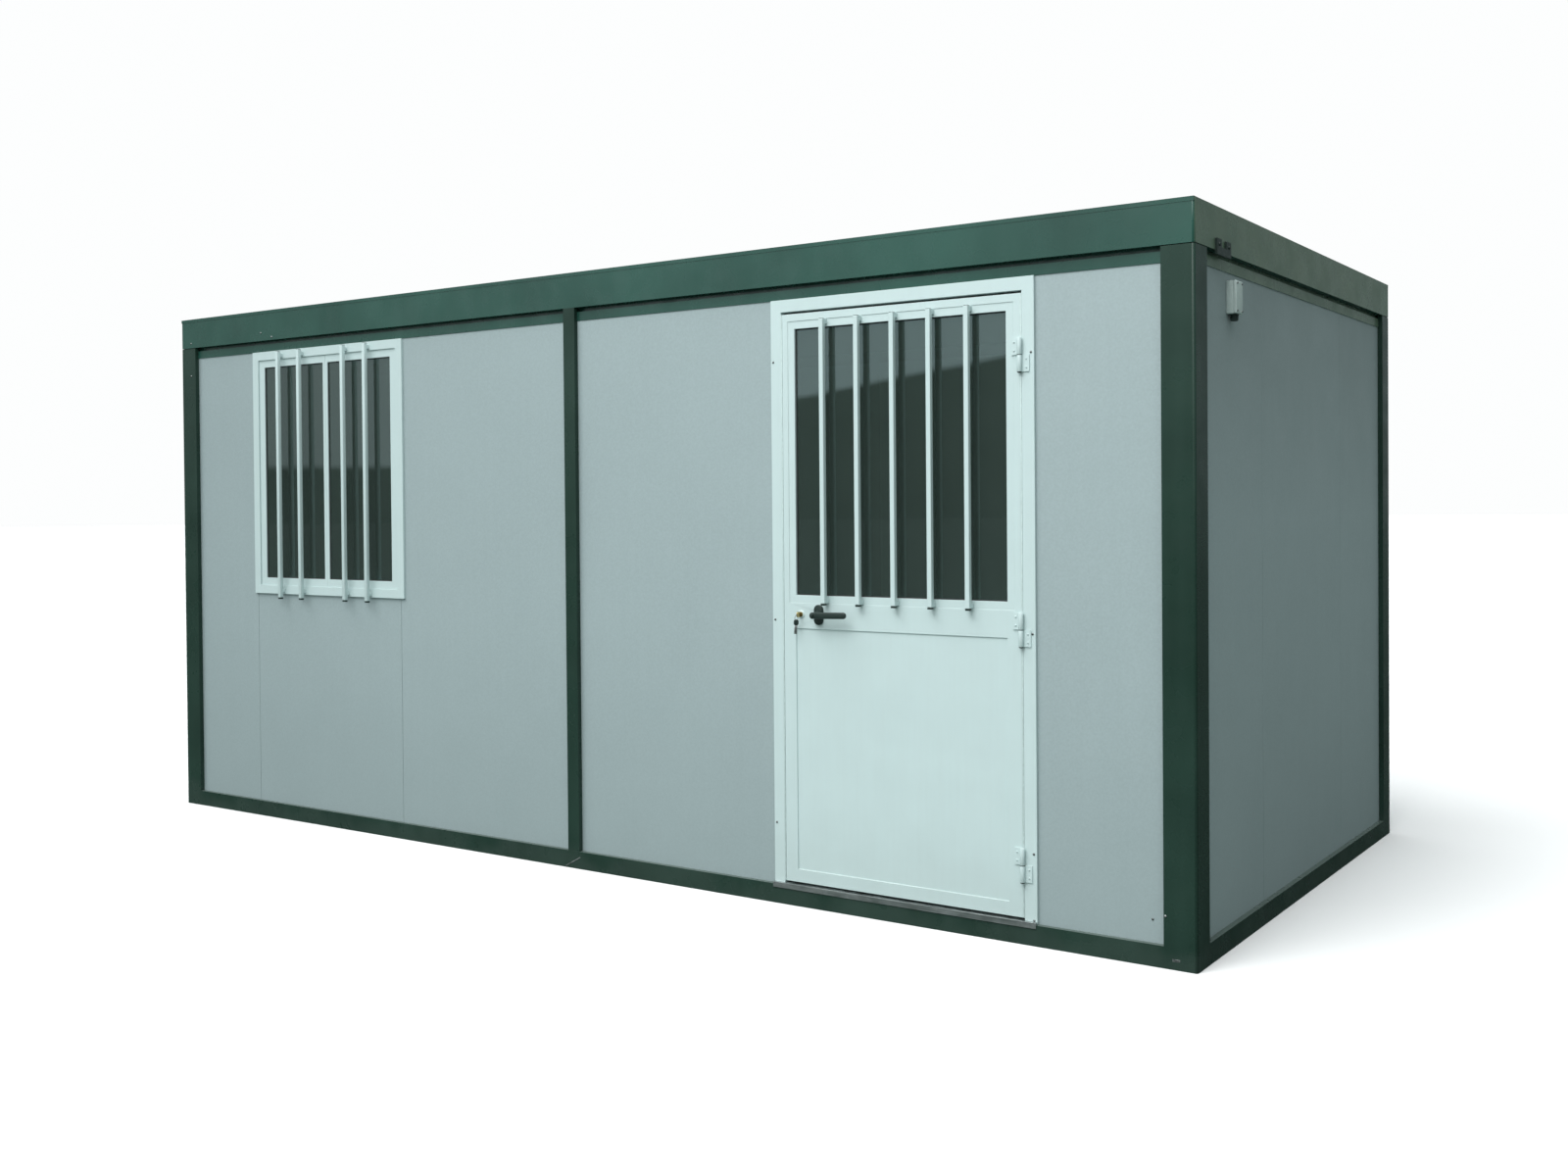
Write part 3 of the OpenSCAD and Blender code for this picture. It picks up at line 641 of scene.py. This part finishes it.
class CABIN_OT_steel_frame(bpy.types.Operator):
    """Enamels the steel frame and adds the trim on the fascia's top edge"""

    bl_idname = "cabin.steel_frame"
    bl_label = "Steel Frame"

    def execute(self, context):
        sizes = context.scene.cabin_sizes
        names = sorted(frame["nodes"])
        beams = [n for n in names if n.startswith("roof_beam")] + ["head_rails"]
        posts = [n for n in names if "post" in n or n.startswith("base_rail")]
        dress(beams, "beam", sizes.edge)
        dress(posts, "post", sizes.edge)
        self.edge_trim(sizes)
        return {"FINISHED"}

    def edge_trim(self, sizes):
        """A thin trim folded over the top flange and a little way down the fascia."""
        sheet = sizes.trim_sheet
        half_x = beam_high.x + sheet
        half_y = -beam_low.y + sheet
        flange = 46 * MM
        low, high = (-half_x, -half_y), (half_x, half_y)
        drop = sizes.trim_drop
        bm = bmesh.new()
        ring_of(bm, low, high, flange, sheet, shifted(0, 0, beam_high.z))
        ring_of(bm, low, high, sheet, drop, shifted(0, 0, beam_high.z - drop), corner=2 * MM)
        make_piece("fascia_edge_trim", bm, "beam", "cabin")


class CABIN_OT_frame_screws(bpy.types.Operator):
    """Adds the screws and rivets of the posts, the fascia and the panels"""

    bl_idname = "cabin.frame_screws"
    bl_label = "Frame Screws"

    # (x, z) of the screws on the front and on the back, in metres
    front_screws = (
        (-2.509, 2.122),
        (2.481, 0.165),
        (-2.507, 2.282),
        (-1.961, 2.297),
        (-1.881, 2.273),
    )
    back_screws = ((2.509, 2.122), (-2.481, 0.165), (2.507, 2.282))

    def execute(self, context):
        radius = context.scene.cabin_sizes.screw / MM
        panel_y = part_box("wall_panel_front_right")[0].y
        bm = bmesh.new()
        for x, z in self.front_screws:
            pan_screw(bm, (x, front_y, z), OUT, radius)
        for x, z in self.back_screws:
            pan_screw(bm, (x, -front_y, z), -OUT, radius)
        make_piece("frame_screws", bm, "zinc", "cabin")
        bm = bmesh.new()
        pan_screw(bm, (post_low.x - 0.043, panel_y, 0.144), OUT, radius * 0.9)
        make_piece("panel_rivets", bm, "nickel", "cabin")
        self.foot_marks()
        return {"FINISHED"}

    def foot_marks(self):
        """A bare weld bead that runs up from the front rail's foot, and a small bare patch."""
        rail_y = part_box("base_rail_front")[0].y
        low, high = Vector((-0.046, rail_y, 0.003)), Vector((0.034, rail_y, 0.047))
        run = high - low
        bm = bmesh.new()
        bead = bmesh.new()
        brick(bead, (run.length, 2.4 * MM, 4.4 * MM))
        rounded(bead, bead.edges[:], 1.1 * MM)
        rise = turn(-math.degrees(math.atan2(run.z, run.x)), "Y")
        merge_part(bm, bead, Matrix.Translation((low + high) / 2) @ rise)
        block(bm, (2.503, front_y - 0.4 * MM, 0.026), (2.528, front_y, 0.034), 0.15 * MM, 1)
        make_piece("foot_marks", bm, "zinc", "cabin")


class CABIN_OT_walls(bpy.types.Operator):
    """Coats the wall panels"""

    bl_idname = "cabin.walls"
    bl_label = "Wall Panels"

    def execute(self, context):
        dress([n for n in frame["nodes"] if n.startswith("wall_panel")], "panel")
        return {"FINISHED"}


class CABIN_OT_roof(bpy.types.Operator):
    """Coats the roof panels and adds their screws on saddle washers"""

    bl_idname = "cabin.roof"
    bl_label = "Roof"

    ribs = 20  # four on each of the five panels

    def execute(self, context):
        dress(["roof_panels"], "panel")
        low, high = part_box("roof_panels")
        rows = context.scene.cabin_sizes.roof_screw_rows
        pitch = (high.x - low.x) / self.ribs
        inset = 60 * MM
        step = (high.y - low.y - 2 * inset) / (rows - 1)
        bm = bmesh.new()
        for rib in range(self.ribs):
            x = low.x + (rib + 0.5) * pitch
            for row in range(rows):
                point = Vector((x, low.y + inset + row * step, high.z))
                saddle = point - Vector((13, 16, 0.5)) * MM, point + Vector((13, 16, 1.4)) * MM
                block(bm, *saddle, 0.6 * MM, 1)
                dome_bolt(bm, point + UP * 1.4 * MM, UP, 5, 8)
        make_piece("roof_screws", bm, "zinc", "cabin")
        return {"FINISHED"}


class CABIN_OT_floor(bpy.types.Operator):
    """Finishes the deck and the joists under it"""

    bl_idname = "cabin.floor"
    bl_label = "Floor"

    def execute(self, context):
        dress(["floor_deck"], "deck")
        dress(["floor_joists"], "zinc")
        return {"FINISHED"}


class CABIN_OT_door(bpy.types.Operator):
    """Coats the door and its frame, and adds the seals and the frame's screws"""

    bl_idname = "cabin.door"
    bl_label = "Door"

    def execute(self, context):
        sizes = context.scene.cabin_sizes
        dress(["door_leaf", "door_frame"], "white", 1.2 * MM)
        dress(["door_lower_panel"], "white")
        dress(["door_threshold"], "aluminium", 1.0 * MM)
        dress(["door_glass"], "glass")
        self.weather_seal()
        low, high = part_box("door_glass")
        bm = bmesh.new()
        gaskets(bm, low.x, high.x, low, high, sizes.gasket)
        make_piece("door_glass_gasket", bm, "rubber", "door")
        self.frame_screws()
        return {"FINISHED"}

    def weather_seal(self):
        """The seal on the frame's stop, that the leaf closes against, and the brush seals at
        its sides."""
        gap = 6 * MM
        wide = 14 * MM
        y0, y1 = leaf_high.y + 0.4 * MM, leaf_high.y + 4.9 * MM
        x0, x1 = leaf_low.x - gap, leaf_high.x + gap
        top = leaf_high.z + 9 * MM
        bm = bmesh.new()
        for x in (x0, x1 - wide):
            block(bm, (x, y0, leaf_low.z), (x + wide, y1, top), 1 * MM)
        block(bm, (x0 + wide, y0, top - wide), (x1 - wide, y1, top), 1 * MM)
        make_piece("door_seal", bm, "rubber", "cabin")
        for name, x, lip, sunk, body in (
            ("door_brush_lock_side", x0, 4.3 * MM, 0.4 * MM, "cabin"),
            ("door_brush_hinge_side", leaf_high.x, 5.2 * MM, 0.3 * MM, "door"),
        ):
            bm = bmesh.new()
            front = leaf_low.y + sunk
            block(bm, (x, front, leaf_low.z), (x + lip, leaf_high.y, leaf_high.z), 0.6 * MM)
            make_piece(name, bm, "pale_rubber", body)

    def frame_screws(self):
        """Pan-head screws down both jambs of the frame."""
        bm = bmesh.new()
        inset = 11 * MM
        for x, heights in (
            (door_low.x + inset, (0.295, 1.041, 1.983)),
            (door_high.x - inset, (0.081, 0.302, 1.029, 1.957)),
        ):
            for z in heights:
                pan_screw(bm, (x, frame_y, max(z, door_low.z + 12 * MM)), OUT, 4.2)
        make_piece("door_frame_screws", bm, "nickel", "cabin")


class CABIN_OT_door_bars(bpy.types.Operator):
    """Coats the door's security bars and plugs their ends; the dark plug at each foot is also
    painted shade under the bar's end
    """

    bl_idname = "cabin.door_bars"
    bl_label = "Door Bars"

    count = 5
    pitch = 145 * MM

    def execute(self, context):
        dress(["door_bars"], "white", 2.2 * MM)
        low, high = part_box("door_bars")
        size = context.scene.cabin_sizes.bar_size
        middle = (low.x + high.x) / 2
        bm = bmesh.new()
        for i in range(self.count):
            x = middle + (i - (self.count - 1) / 2) * self.pitch
            end_plugs_and_foot_shade(bm, x, low.y, size, low.z, high.z)
        make_piece("door_bar_plugs_and_foot_shade", bm, "black", "door")
        return {"FINISHED"}


def end_plugs_and_foot_shade(bm, x, y, size, bottom, top):
    """A plastic plug in each end of an upright square bar whose front face is at y. The plug at the
    foot runs 7 mm below the bar in dark nylon, as painted shade for the shadow under the bar's end.
    """
    half = size / 2 - 1 * MM
    # painted shade: the foot plug hangs 7 mm below the bar, dark, where the bar's end casts its
    # shadow
    for z0, z1 in ((bottom - 7 * MM, bottom), (top, top + 1.5 * MM)):
        block(bm, (x - half, y + 1 * MM, z0), (x + half, y + 1 * MM + 2 * half, z1), 0.6 * MM)


class CABIN_OT_hinges(bpy.types.Operator):
    """Coats the hinges and adds their pin caps, washers and screws"""

    bl_idname = "cabin.hinges"
    bl_label = "Hinges"

    heights = (0.262, 1.042, 1.950)  # each hinge's middle, in metres

    def execute(self, context):
        dress(["hinges_frame_side", "hinges_leaf_side"], "white", 0.8 * MM)
        axis = Vector(next(j["pos_m"] for j in frame["joints"] if j["name"] == "door_swing"))
        half = self.heights[0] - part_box("hinges_frame_side")[0].z
        side = 22 * MM
        y = frame_y - 4 * MM
        caps, screws_frame, screws_leaf = bmesh.new(), bmesh.new(), bmesh.new()
        for z in self.heights:
            cap = [(0, 5), (4.5, 4.4), (7.4, 2), (7.8, -0.2), (0, -0.2)]
            turned(caps, cap, towards((axis.x, axis.y, z - half), -UP))
            for k in (1, 3):
                height = half * k / 4
                pan_screw(screws_frame, (axis.x + side, y, z - height), OUT, 3.6)
                pan_screw(screws_leaf, (axis.x - side, y, z + height), OUT, 3.6)
            washer = [(0, 0.9), (8.8, 0.9), (8.8, -0.9), (0, -0.9)]
            turned(caps, washer, towards((axis.x, axis.y, z), UP))
        make_piece("hinge_pin_caps", caps, "black", "cabin")
        make_piece("hinge_screws_frame", screws_frame, "white", "cabin")
        make_piece("hinge_screws_leaf", screws_leaf, "white", "door")
        return {"FINISHED"}


class CABIN_OT_lever(bpy.types.Operator):
    """Builds the moulded lever and its oval plates in place of the plain ones"""

    bl_idname = "cabin.lever"
    bl_label = "Lever"

    def execute(self, context):
        low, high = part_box("door_lever_plates")
        middle = (low + high) / 2
        plate = bmesh.new()
        for y, out in ((leaf_low.y, -1), (leaf_high.y, 1)):
            oval_plate(plate, middle.x, middle.z, y, out, high.x - low.x, high.z - low.z)
        made = make_piece("lever_plates_moulded", plate, "black", "door")
        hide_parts("door_lever_plates")
        low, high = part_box("door_lever")
        hub = bmesh.new()
        for y_end, y_face in ((low.y, leaf_low.y), (high.y, leaf_high.y)):
            lever_arm(hub, middle.x, middle.z, y_end, y_face, high.x)
        spindle = [(0, 0), (7, 0), (7, 54), (0, 54)]
        turned(hub, spindle, towards((middle.x, leaf_low.y - 8 * MM, middle.z), -OUT))
        made = make_piece("lever_moulded", hub, "black", "lever")
        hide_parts("door_lever")
        return {"FINISHED"}


def oval_plate(bm, x, z, y, out, width, height):
    """A plate with round ends on a face at y, its outer edge rolled over."""
    part = bmesh.new()
    brick(part, (width, 8 * MM, height))
    rounded(part, edges_along(part, 1), width / 2 - 0.5 * MM, 8)
    rim = [e for e in sharp_edges(part) if all(v.co.y * out > 0 for v in e.verts)]
    rounded(part, rim, 3 * MM, 3)
    merge_part(bm, part, shifted(x, y + out * 4 * MM, z))


def lever_arm(bm, x, z, y_end, y_face, x_tip):
    """A round neck out of the plate, and a flat grip with a round tip along the door."""
    out = -1 if y_end < y_face else 1
    reach = abs(y_end - y_face) / MM
    neck = [(0, reach), (8, reach), (12, reach - 3), (12.5, reach - 9), (11.5, reach - 16)]
    neck += [(10.5, reach - 22), (12.5, 12), (15, 8.2), (15, 7), (0, 7)]
    turned(bm, neck, towards((x, y_face, z), (0, out, 0)), 24)
    part = bmesh.new()
    length = x_tip - x
    verts = brick(part, (length, 13 * MM, 23 * MM))
    bmesh.ops.translate(part, vec=(length / 2, 0, 0), verts=verts)
    tip = [e for e in edges_along(part, 1) if all(v.co.x > length / 2 for v in e.verts)]
    rounded(part, tip, 11 * MM, 6)
    rounded(part, sharp_edges(part), 4 * MM, 3)
    merge_part(bm, part, shifted(x, y_end - out * 6.5 * MM, z) @ turn(-1.6, "Y"))


class CABIN_OT_lock(bpy.types.Operator):
    """Finishes the lock cylinder and hangs two keys from it"""

    bl_idname = "cabin.lock"
    bl_label = "Lock and Keys"

    def execute(self, context):
        low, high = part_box("lock_cylinder")
        middle = (low + high) / 2
        face = low.y
        long = context.scene.cabin_sizes.key_length
        dress(["lock_cylinder"], "brass", 0.8 * MM)
        rosette = bmesh.new()
        outline = [(9.2, 3.4), (12.5, 3.2), (14.5, 1.6), (15, -0.1), (9.2, -0.1), (9.2, 3.4)]
        turned(rosette, outline, towards((middle.x, frame_y, middle.z), OUT), 28)
        make_piece("lock_rosette", rosette, "white", "door")
        blades, brass_bow = bmesh.new(), bmesh.new()
        spare_blade, covered_bow = bmesh.new(), bmesh.new()
        in_lock = shifted(middle.x, face - 1 * MM, middle.z) @ turn(90, "Y")
        key(blades, brass_bow, in_lock, long * 0.45)
        hang = Vector((middle.x - 4 * MM, face - 20 * MM, middle.z - 13 * MM))
        spare = Matrix.Translation(hang + Vector((-3, 2, -25)) * MM)
        spare = spare @ turn(-90, "X") @ turn(4, "Z") @ turn(-32, "Y")
        key(spare_blade, covered_bow, spare, long * 0.62, 5 * MM, 0.88)
        ring = bmesh.new()
        wire_ring(ring, 10 * MM, 0.9 * MM, Matrix.Translation(hang) @ turn(90, "Y"))
        make_piece("key_blades", blades, "nickel", "door")
        make_piece("key_blade_hanging", spare_blade, "zinc", "door")
        make_piece("key_bow_in_lock", brass_bow, "brass", "door")
        make_piece("key_bow_hanging", covered_bow, "black", "door")
        make_piece("key_ring", ring, "nickel", "door")
        return {"FINISHED"}


def key(blades, bows, place, blade, half=3.4 * MM, bow_share=1.0):
    """A key in the local XY plane: its blade runs along +Y from the origin, its bow is at -Y."""
    part = bmesh.new()
    block(part, (-half, 0, -1.1 * MM), (half, blade, 1.1 * MM), 0.4 * MM)
    for i in range(4):
        y = blade * (0.35 + 0.17 * i)
        tooth = (-half - 1.2 * MM, y, -0.9 * MM), (-half + 1 * MM, y + blade * 0.08, 0.9 * MM)
        block(part, *tooth, 0.3 * MM, 1)
    merge_part(blades, part, place)
    bow = bmesh.new()
    block(bow, (-10 * MM, -23 * MM, -1.9 * MM), (10 * MM, 1 * MM, 1.9 * MM))
    rounded(bow, edges_along(bow, 2), 8 * MM, 6)
    rounded(bow, sharp_edges(bow), 1 * MM)
    merge_part(bows, bow, place @ Matrix.Diagonal((bow_share, bow_share, 1.0, 1.0)))


def wire_ring(bm, radius, wire, place):
    """A closed ring of round wire in the local XY plane."""
    part = bmesh.new()
    section = bmesh.ops.create_circle(part, segments=8, radius=wire)["verts"]
    bmesh.ops.transform(part, matrix=shifted(radius, 0, 0) @ turn(90, "X"), verts=section)
    spun(bm, part, part.verts[:] + part.edges[:], place, 28)


class CABIN_OT_window(bpy.types.Operator):
    """Coats the window, glazes it and adds its gaskets"""

    bl_idname = "cabin.window"
    bl_label = "Window"

    def execute(self, context):
        sizes = context.scene.cabin_sizes
        dress(["window_frame", "window_sash_left", "window_sash_right"], "white", 1.0 * MM)
        dress(["window_glass"], "glass")
        low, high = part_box("window_glass")
        stile = sizes.meeting_stile
        bm = bmesh.new()
        for x_low, x_high in ((low.x, mid_x - stile), (mid_x + stile, high.x)):
            gaskets(bm, x_low, x_high, low, high, sizes.gasket)
        make_piece("window_gaskets", bm, "rubber", "cabin")
        return {"FINISHED"}


class CABIN_OT_window_bars(bpy.types.Operator):
    """Adds the four security bars in front of the window"""

    bl_idname = "cabin.window_bars"
    bl_label = "Window Bars"

    def execute(self, context):
        sizes = context.scene.cabin_sizes
        side, gap = sizes.bar_size, sizes.bar_standoff
        bottom = window_low.z - sizes.bar_below
        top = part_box("head_rails")[0].z - sizes.bar_above
        back = frame_y - gap
        outer = sizes.bar_offset + sizes.bar_pitch
        bars, plugs = bmesh.new(), bmesh.new()
        for offset in (-outer, -sizes.bar_offset, sizes.bar_offset, outer):
            x = mid_x + offset
            x0, x1 = x - side / 2, x + side / 2
            block(bars, (x0, back - side, bottom), (x1, back, top), 2.2 * MM, 3)
            for z in (window_low.z + 8 * MM, top - 8 * MM - side):
                foot = (x0 + 1 * MM, back - 1 * MM, z)
                block(bars, foot, (x1 - 1 * MM, frame_y + 0.5 * MM, z + side), 1 * MM)
            # plugs in the bars' ends; the dark one at each foot is also painted shade under the
            # bar's end
            end_plugs_and_foot_shade(plugs, x, back - side, side, bottom, top)
        make_piece("window_bars", bars, "white", "cabin")
        make_piece("window_bar_plugs_and_foot_shade", plugs, "black", "cabin")
        return {"FINISHED"}


class CABIN_OT_inlet(bpy.types.Operator):
    """Builds the inlet box and the power inlet under it, and coats the cable bracket and screws it
    on
    """

    bl_idname = "cabin.inlet"
    bl_label = "Inlet"

    def execute(self, context):
        self.box()
        self.power_inlet()
        dress(["cable_bracket"], "black", 1.2 * MM)
        low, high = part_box("cable_bracket")
        bm = bmesh.new()
        for share in (0.16, 0.84):
            y = low.y + (high.y - low.y) * share
            pan_screw(bm, (high.x, y, low.z + 34 * MM), RIGHT, 6)
        make_piece("bracket_screws", bm, "black", "cabin")
        return {"FINISHED"}

    def box(self):
        """A moulded box with a lid that is parted from it by a fine groove, and four screws."""
        low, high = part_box("inlet_box")
        groove = high.x - 12 * MM
        bm = bmesh.new()
        block(bm, low, (groove - 1 * MM, high.y, high.z), 2.5 * MM, 3)
        core = low + Vector((4, 2, 2)) * MM, (groove + 2 * MM, high.y - 2 * MM, high.z - 2 * MM)
        block(bm, *core)
        block(bm, (groove + 1 * MM, low.y, low.z), high, 4 * MM, 4)
        made = make_piece("inlet_box_moulded", bm, "box", "cabin")
        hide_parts("inlet_box")
        screws = bmesh.new()
        for y in (low.y + 9 * MM, high.y - 9 * MM):
            for z in (low.z + 9 * MM, high.z - 9 * MM):
                pan_screw(screws, (high.x, y, z), RIGHT, 4)
        make_piece("inlet_box_screws", screws, "nickel", "cabin")

    def power_inlet(self):
        """A round collar that opens downwards, with three pins inside."""
        low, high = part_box("power_inlet")
        middle = (low + high) / 2
        radius = (high.y - low.y) / 2 / MM
        length = (high.z - low.z) / MM
        top = Vector((middle.x, middle.y, high.z))
        bm = bmesh.new()
        outline = [(0, 0), (radius, 0), (radius, 4), (radius - 2, 5)]
        for i in range(4):
            height = 6 + i * 3
            outline += [(radius - 2, height), (radius - 1, height + 1), (radius - 2, height + 2)]
        outline += [(radius - 2.5, length), (radius - 5, length), (radius - 5, 8), (0, 8)]
        turned(bm, outline, towards(top, -UP), 28)
        for turn in range(3):
            angle = math.radians(120 * turn)
            spot = top + Vector((math.cos(angle) * 5, math.sin(angle) * 5, -7)) * MM
            turned(bm, [(0, 9), (1.3, 8.5), (1.6, 7), (1.6, 0), (0, 0)], towards(spot, -UP), 10)
        made = make_piece("power_inlet_moulded", bm, "black", "cabin")
        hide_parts("power_inlet")


class CABIN_OT_earth_stud(bpy.types.Operator):
    """Builds the threaded earthing stud with its nut and washer"""

    bl_idname = "cabin.earth_stud"
    bl_label = "Earthing Stud"

    def execute(self, context):
        low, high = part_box("earth_stud")
        y, z = (low.y + high.y) / 2, (low.z + high.z) / 2
        length = (high.x - low.x) / MM
        place = towards((high.x, y, z), -RIGHT)
        bm = bmesh.new()
        turned(bm, [(0, 2), (11.5, 2), (12, 1.2), (12, 0), (0, 0)], place, 28)
        thread = [(0, 2), (5.3, 2)]
        for i in range(18):
            height = 12 + i * (length - 14) / 18
            thread += [(6, height + 0.3), (5.3, height + 0.9)]
        thread += [(4.6, length), (0, length)]
        turned(bm, thread, place, 18)
        nut = bmesh.new()
        radius = 10.8 * MM
        verts = bmesh.ops.create_cone(
            nut, cap_ends=True, segments=6, radius1=radius, radius2=radius, depth=8.5 * MM
        )["verts"]
        bmesh.ops.translate(nut, vec=(0, 0, 6.2 * MM), verts=verts)
        rounded(nut, nut.edges[:], 0.8 * MM)
        merge_part(bm, nut, place)
        made = make_piece("earth_stud_threaded", bm, "zinc", "cabin")
        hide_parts("earth_stud")
        return {"FINISHED"}


class CABIN_OT_stage(bpy.types.Operator):
    """Sets up the camera, the pale floor and the soft light"""

    bl_idname = "cabin.stage"
    bl_label = "Studio"

    def execute(self, context):
        scene = context.scene
        scene.view_settings.view_transform = "Standard"
        self.camera(scene)
        self.floor(scene.cabin_finishes.floor_pale)
        self.tent(scene)
        self.lights()
        return {"FINISHED"}

    def camera(self, scene):
        """Eye height, in front of the door and to its right, with the lens raised a little."""
        data = bpy.data.cameras.new("camera")
        data.lens = 35.37
        data.shift_y = -0.0399
        data.clip_end = 500
        aim = turn(34.56, "Z") @ turn(90 - 0.76, "X") @ turn(-0.47, "Z")
        scene.camera = placed("camera", data, shifted(4.231, -5.846, 1.461) @ aim)

    def floor(self, colour):
        """A wide round floor, just under the cabin."""
        finish["floor"] = studio_floor(colour)
        bm = bmesh.new()
        bmesh.ops.create_circle(bm, cap_ends=True, segments=96, radius=150)
        bmesh.ops.translate(bm, vec=(0, 0, -0.5 * MM), verts=bm.verts[:])
        placed("studio_floor", mesh_of("studio_floor", bm, "floor"))

    def tent(self, scene):
        """A white tent: brightest in front and at a gap in its cloth, with dark banks low down;
        the glass mirrors them all."""
        world = bpy.data.worlds.new("studio_tent")
        scene.world = world
        world.use_nodes = True
        tree = world.node_tree
        way = add(tree, "ShaderNodeTexCoord").outputs["Generated"]
        axes = (
            Vector((0.0, -0.9, 0.42)).normalized(),
            Vector((-0.448, -0.891, 0.09)).normalized(),
            (-0.117, 0.161, 0.98),
            (0.0207, 0.0156, 0.9997),
        )
        kind = "ShaderNodeVectorMath"
        front, gap, *banks = [  # how nearly a way points along each axis
            add(tree, kind, {0: way, 1: axis}, operation="DOT_PRODUCT").outputs["Value"]
            for axis in axes
        ]
        kind = "ShaderNodeMapRange"
        cloth = (0.232, 0.276, 0.28, 1)
        for near, outer, inner, colour in (
            (front, 0.2, 0.92, (0.93, 0.96, 0.97, 1)),
            (gap, 0.9, 0.985, (1.24, 1.3, 1.36, 1)),
        ):
            sockets = {"Value": near, **span(outer, inner)}
            lobe = add(tree, kind, sockets, interpolation_type="SMOOTHSTEP").outputs[0]
            cloth = layered(tree, cloth, (lobe, colour))
        sockets = {0: banks[0], 1: banks[1]}
        over = add(tree, "ShaderNodeMath", sockets, operation="MINIMUM").outputs[0]
        skyline = add(tree, kind, {"Value": over, **span(-0.002, 0.002)}).outputs[0]
        seen = layered(tree, (0.072, 0.1, 0.09, 1), (skyline, cloth))
        ray = add(tree, "ShaderNodeLightPath").outputs["Is Camera Ray"]
        final = layered(tree, seen, (ray, (0.98, 0.99, 0.99, 1)))
        tree.links.new(final, tree.nodes["Background"].inputs["Color"])

    def lights(self):
        """Two very broad suns, one high in front and a little to the left and one overhead, so
        that shadows stay soft, and a lit panel in front."""
        for name, spread, place in (
            ("key", 40, towards((0, 0, 6), (-0.3, -0.55, 1.1))),
            ("top", 70, towards((0, 0, 8), UP)),
        ):
            sun = bpy.data.lights.new(name, "SUN")
            sun.energy = 1.5
            sun.angle = math.radians(spread)
            placed(name, sun, place)
        panel = bpy.data.lights.new("front_panel", "AREA")
        panel.shape = "RECTANGLE"
        panel.size = 4.0
        panel.size_y = 2.4
        panel.energy = 145
        place = towards((1.9, -5.4, 5.3), (0.12, -1.0, 1.0))
        placed("front_panel", panel, place).visible_camera = False


class CABIN_PT_panel(bpy.types.Panel):
    """Lists the cabin's sizes, colours and operators"""

    bl_idname = "CABIN_PT_panel"
    bl_label = "Site Cabin"
    bl_space_type = "VIEW_3D"
    bl_region_type = "UI"
    bl_category = "Cabin"

    def draw(self, context):
        layout = self.layout
        for group in (context.scene.cabin_sizes, context.scene.cabin_finishes):
            for name in type(group).__annotations__:
                layout.prop(group, name)
        for step in STEPS:
            layout.operator(step.bl_idname)


STEPS = (
    CABIN_OT_stage,
    CABIN_OT_steel_frame,
    CABIN_OT_frame_screws,
    CABIN_OT_walls,
    CABIN_OT_roof,
    CABIN_OT_floor,
    CABIN_OT_door,
    CABIN_OT_door_bars,
    CABIN_OT_hinges,
    CABIN_OT_lever,
    CABIN_OT_lock,
    CABIN_OT_window,
    CABIN_OT_window_bars,
    CABIN_OT_inlet,
    CABIN_OT_earth_stud,
)
CLASSES = (CabinSizes, CabinFinishes, *STEPS, CABIN_PT_panel)


def register():
    for entry in CLASSES:
        bpy.utils.register_class(entry)
    bpy.types.Scene.cabin_sizes = PointerProperty(type=CabinSizes)
    bpy.types.Scene.cabin_finishes = PointerProperty(type=CabinFinishes)


def unregister():
    del bpy.types.Scene.cabin_finishes
    del bpy.types.Scene.cabin_sizes
    for entry in reversed(CLASSES):
        bpy.utils.unregister_class(entry)


def main():
    register()
    make_finishes(bpy.context.scene.cabin_finishes)
    bpy.ops.cabin.stage()
    bpy.ops.cabin.steel_frame()
    bpy.ops.cabin.frame_screws()
    bpy.ops.cabin.walls()
    bpy.ops.cabin.roof()
    bpy.ops.cabin.floor()
    bpy.ops.cabin.door()
    bpy.ops.cabin.door_bars()
    bpy.ops.cabin.hinges()
    bpy.ops.cabin.lever()
    bpy.ops.cabin.lock()
    bpy.ops.cabin.window()
    bpy.ops.cabin.window_bars()
    bpy.ops.cabin.inlet()
    bpy.ops.cabin.earth_stud()


if __name__ == "__main__":
    main()
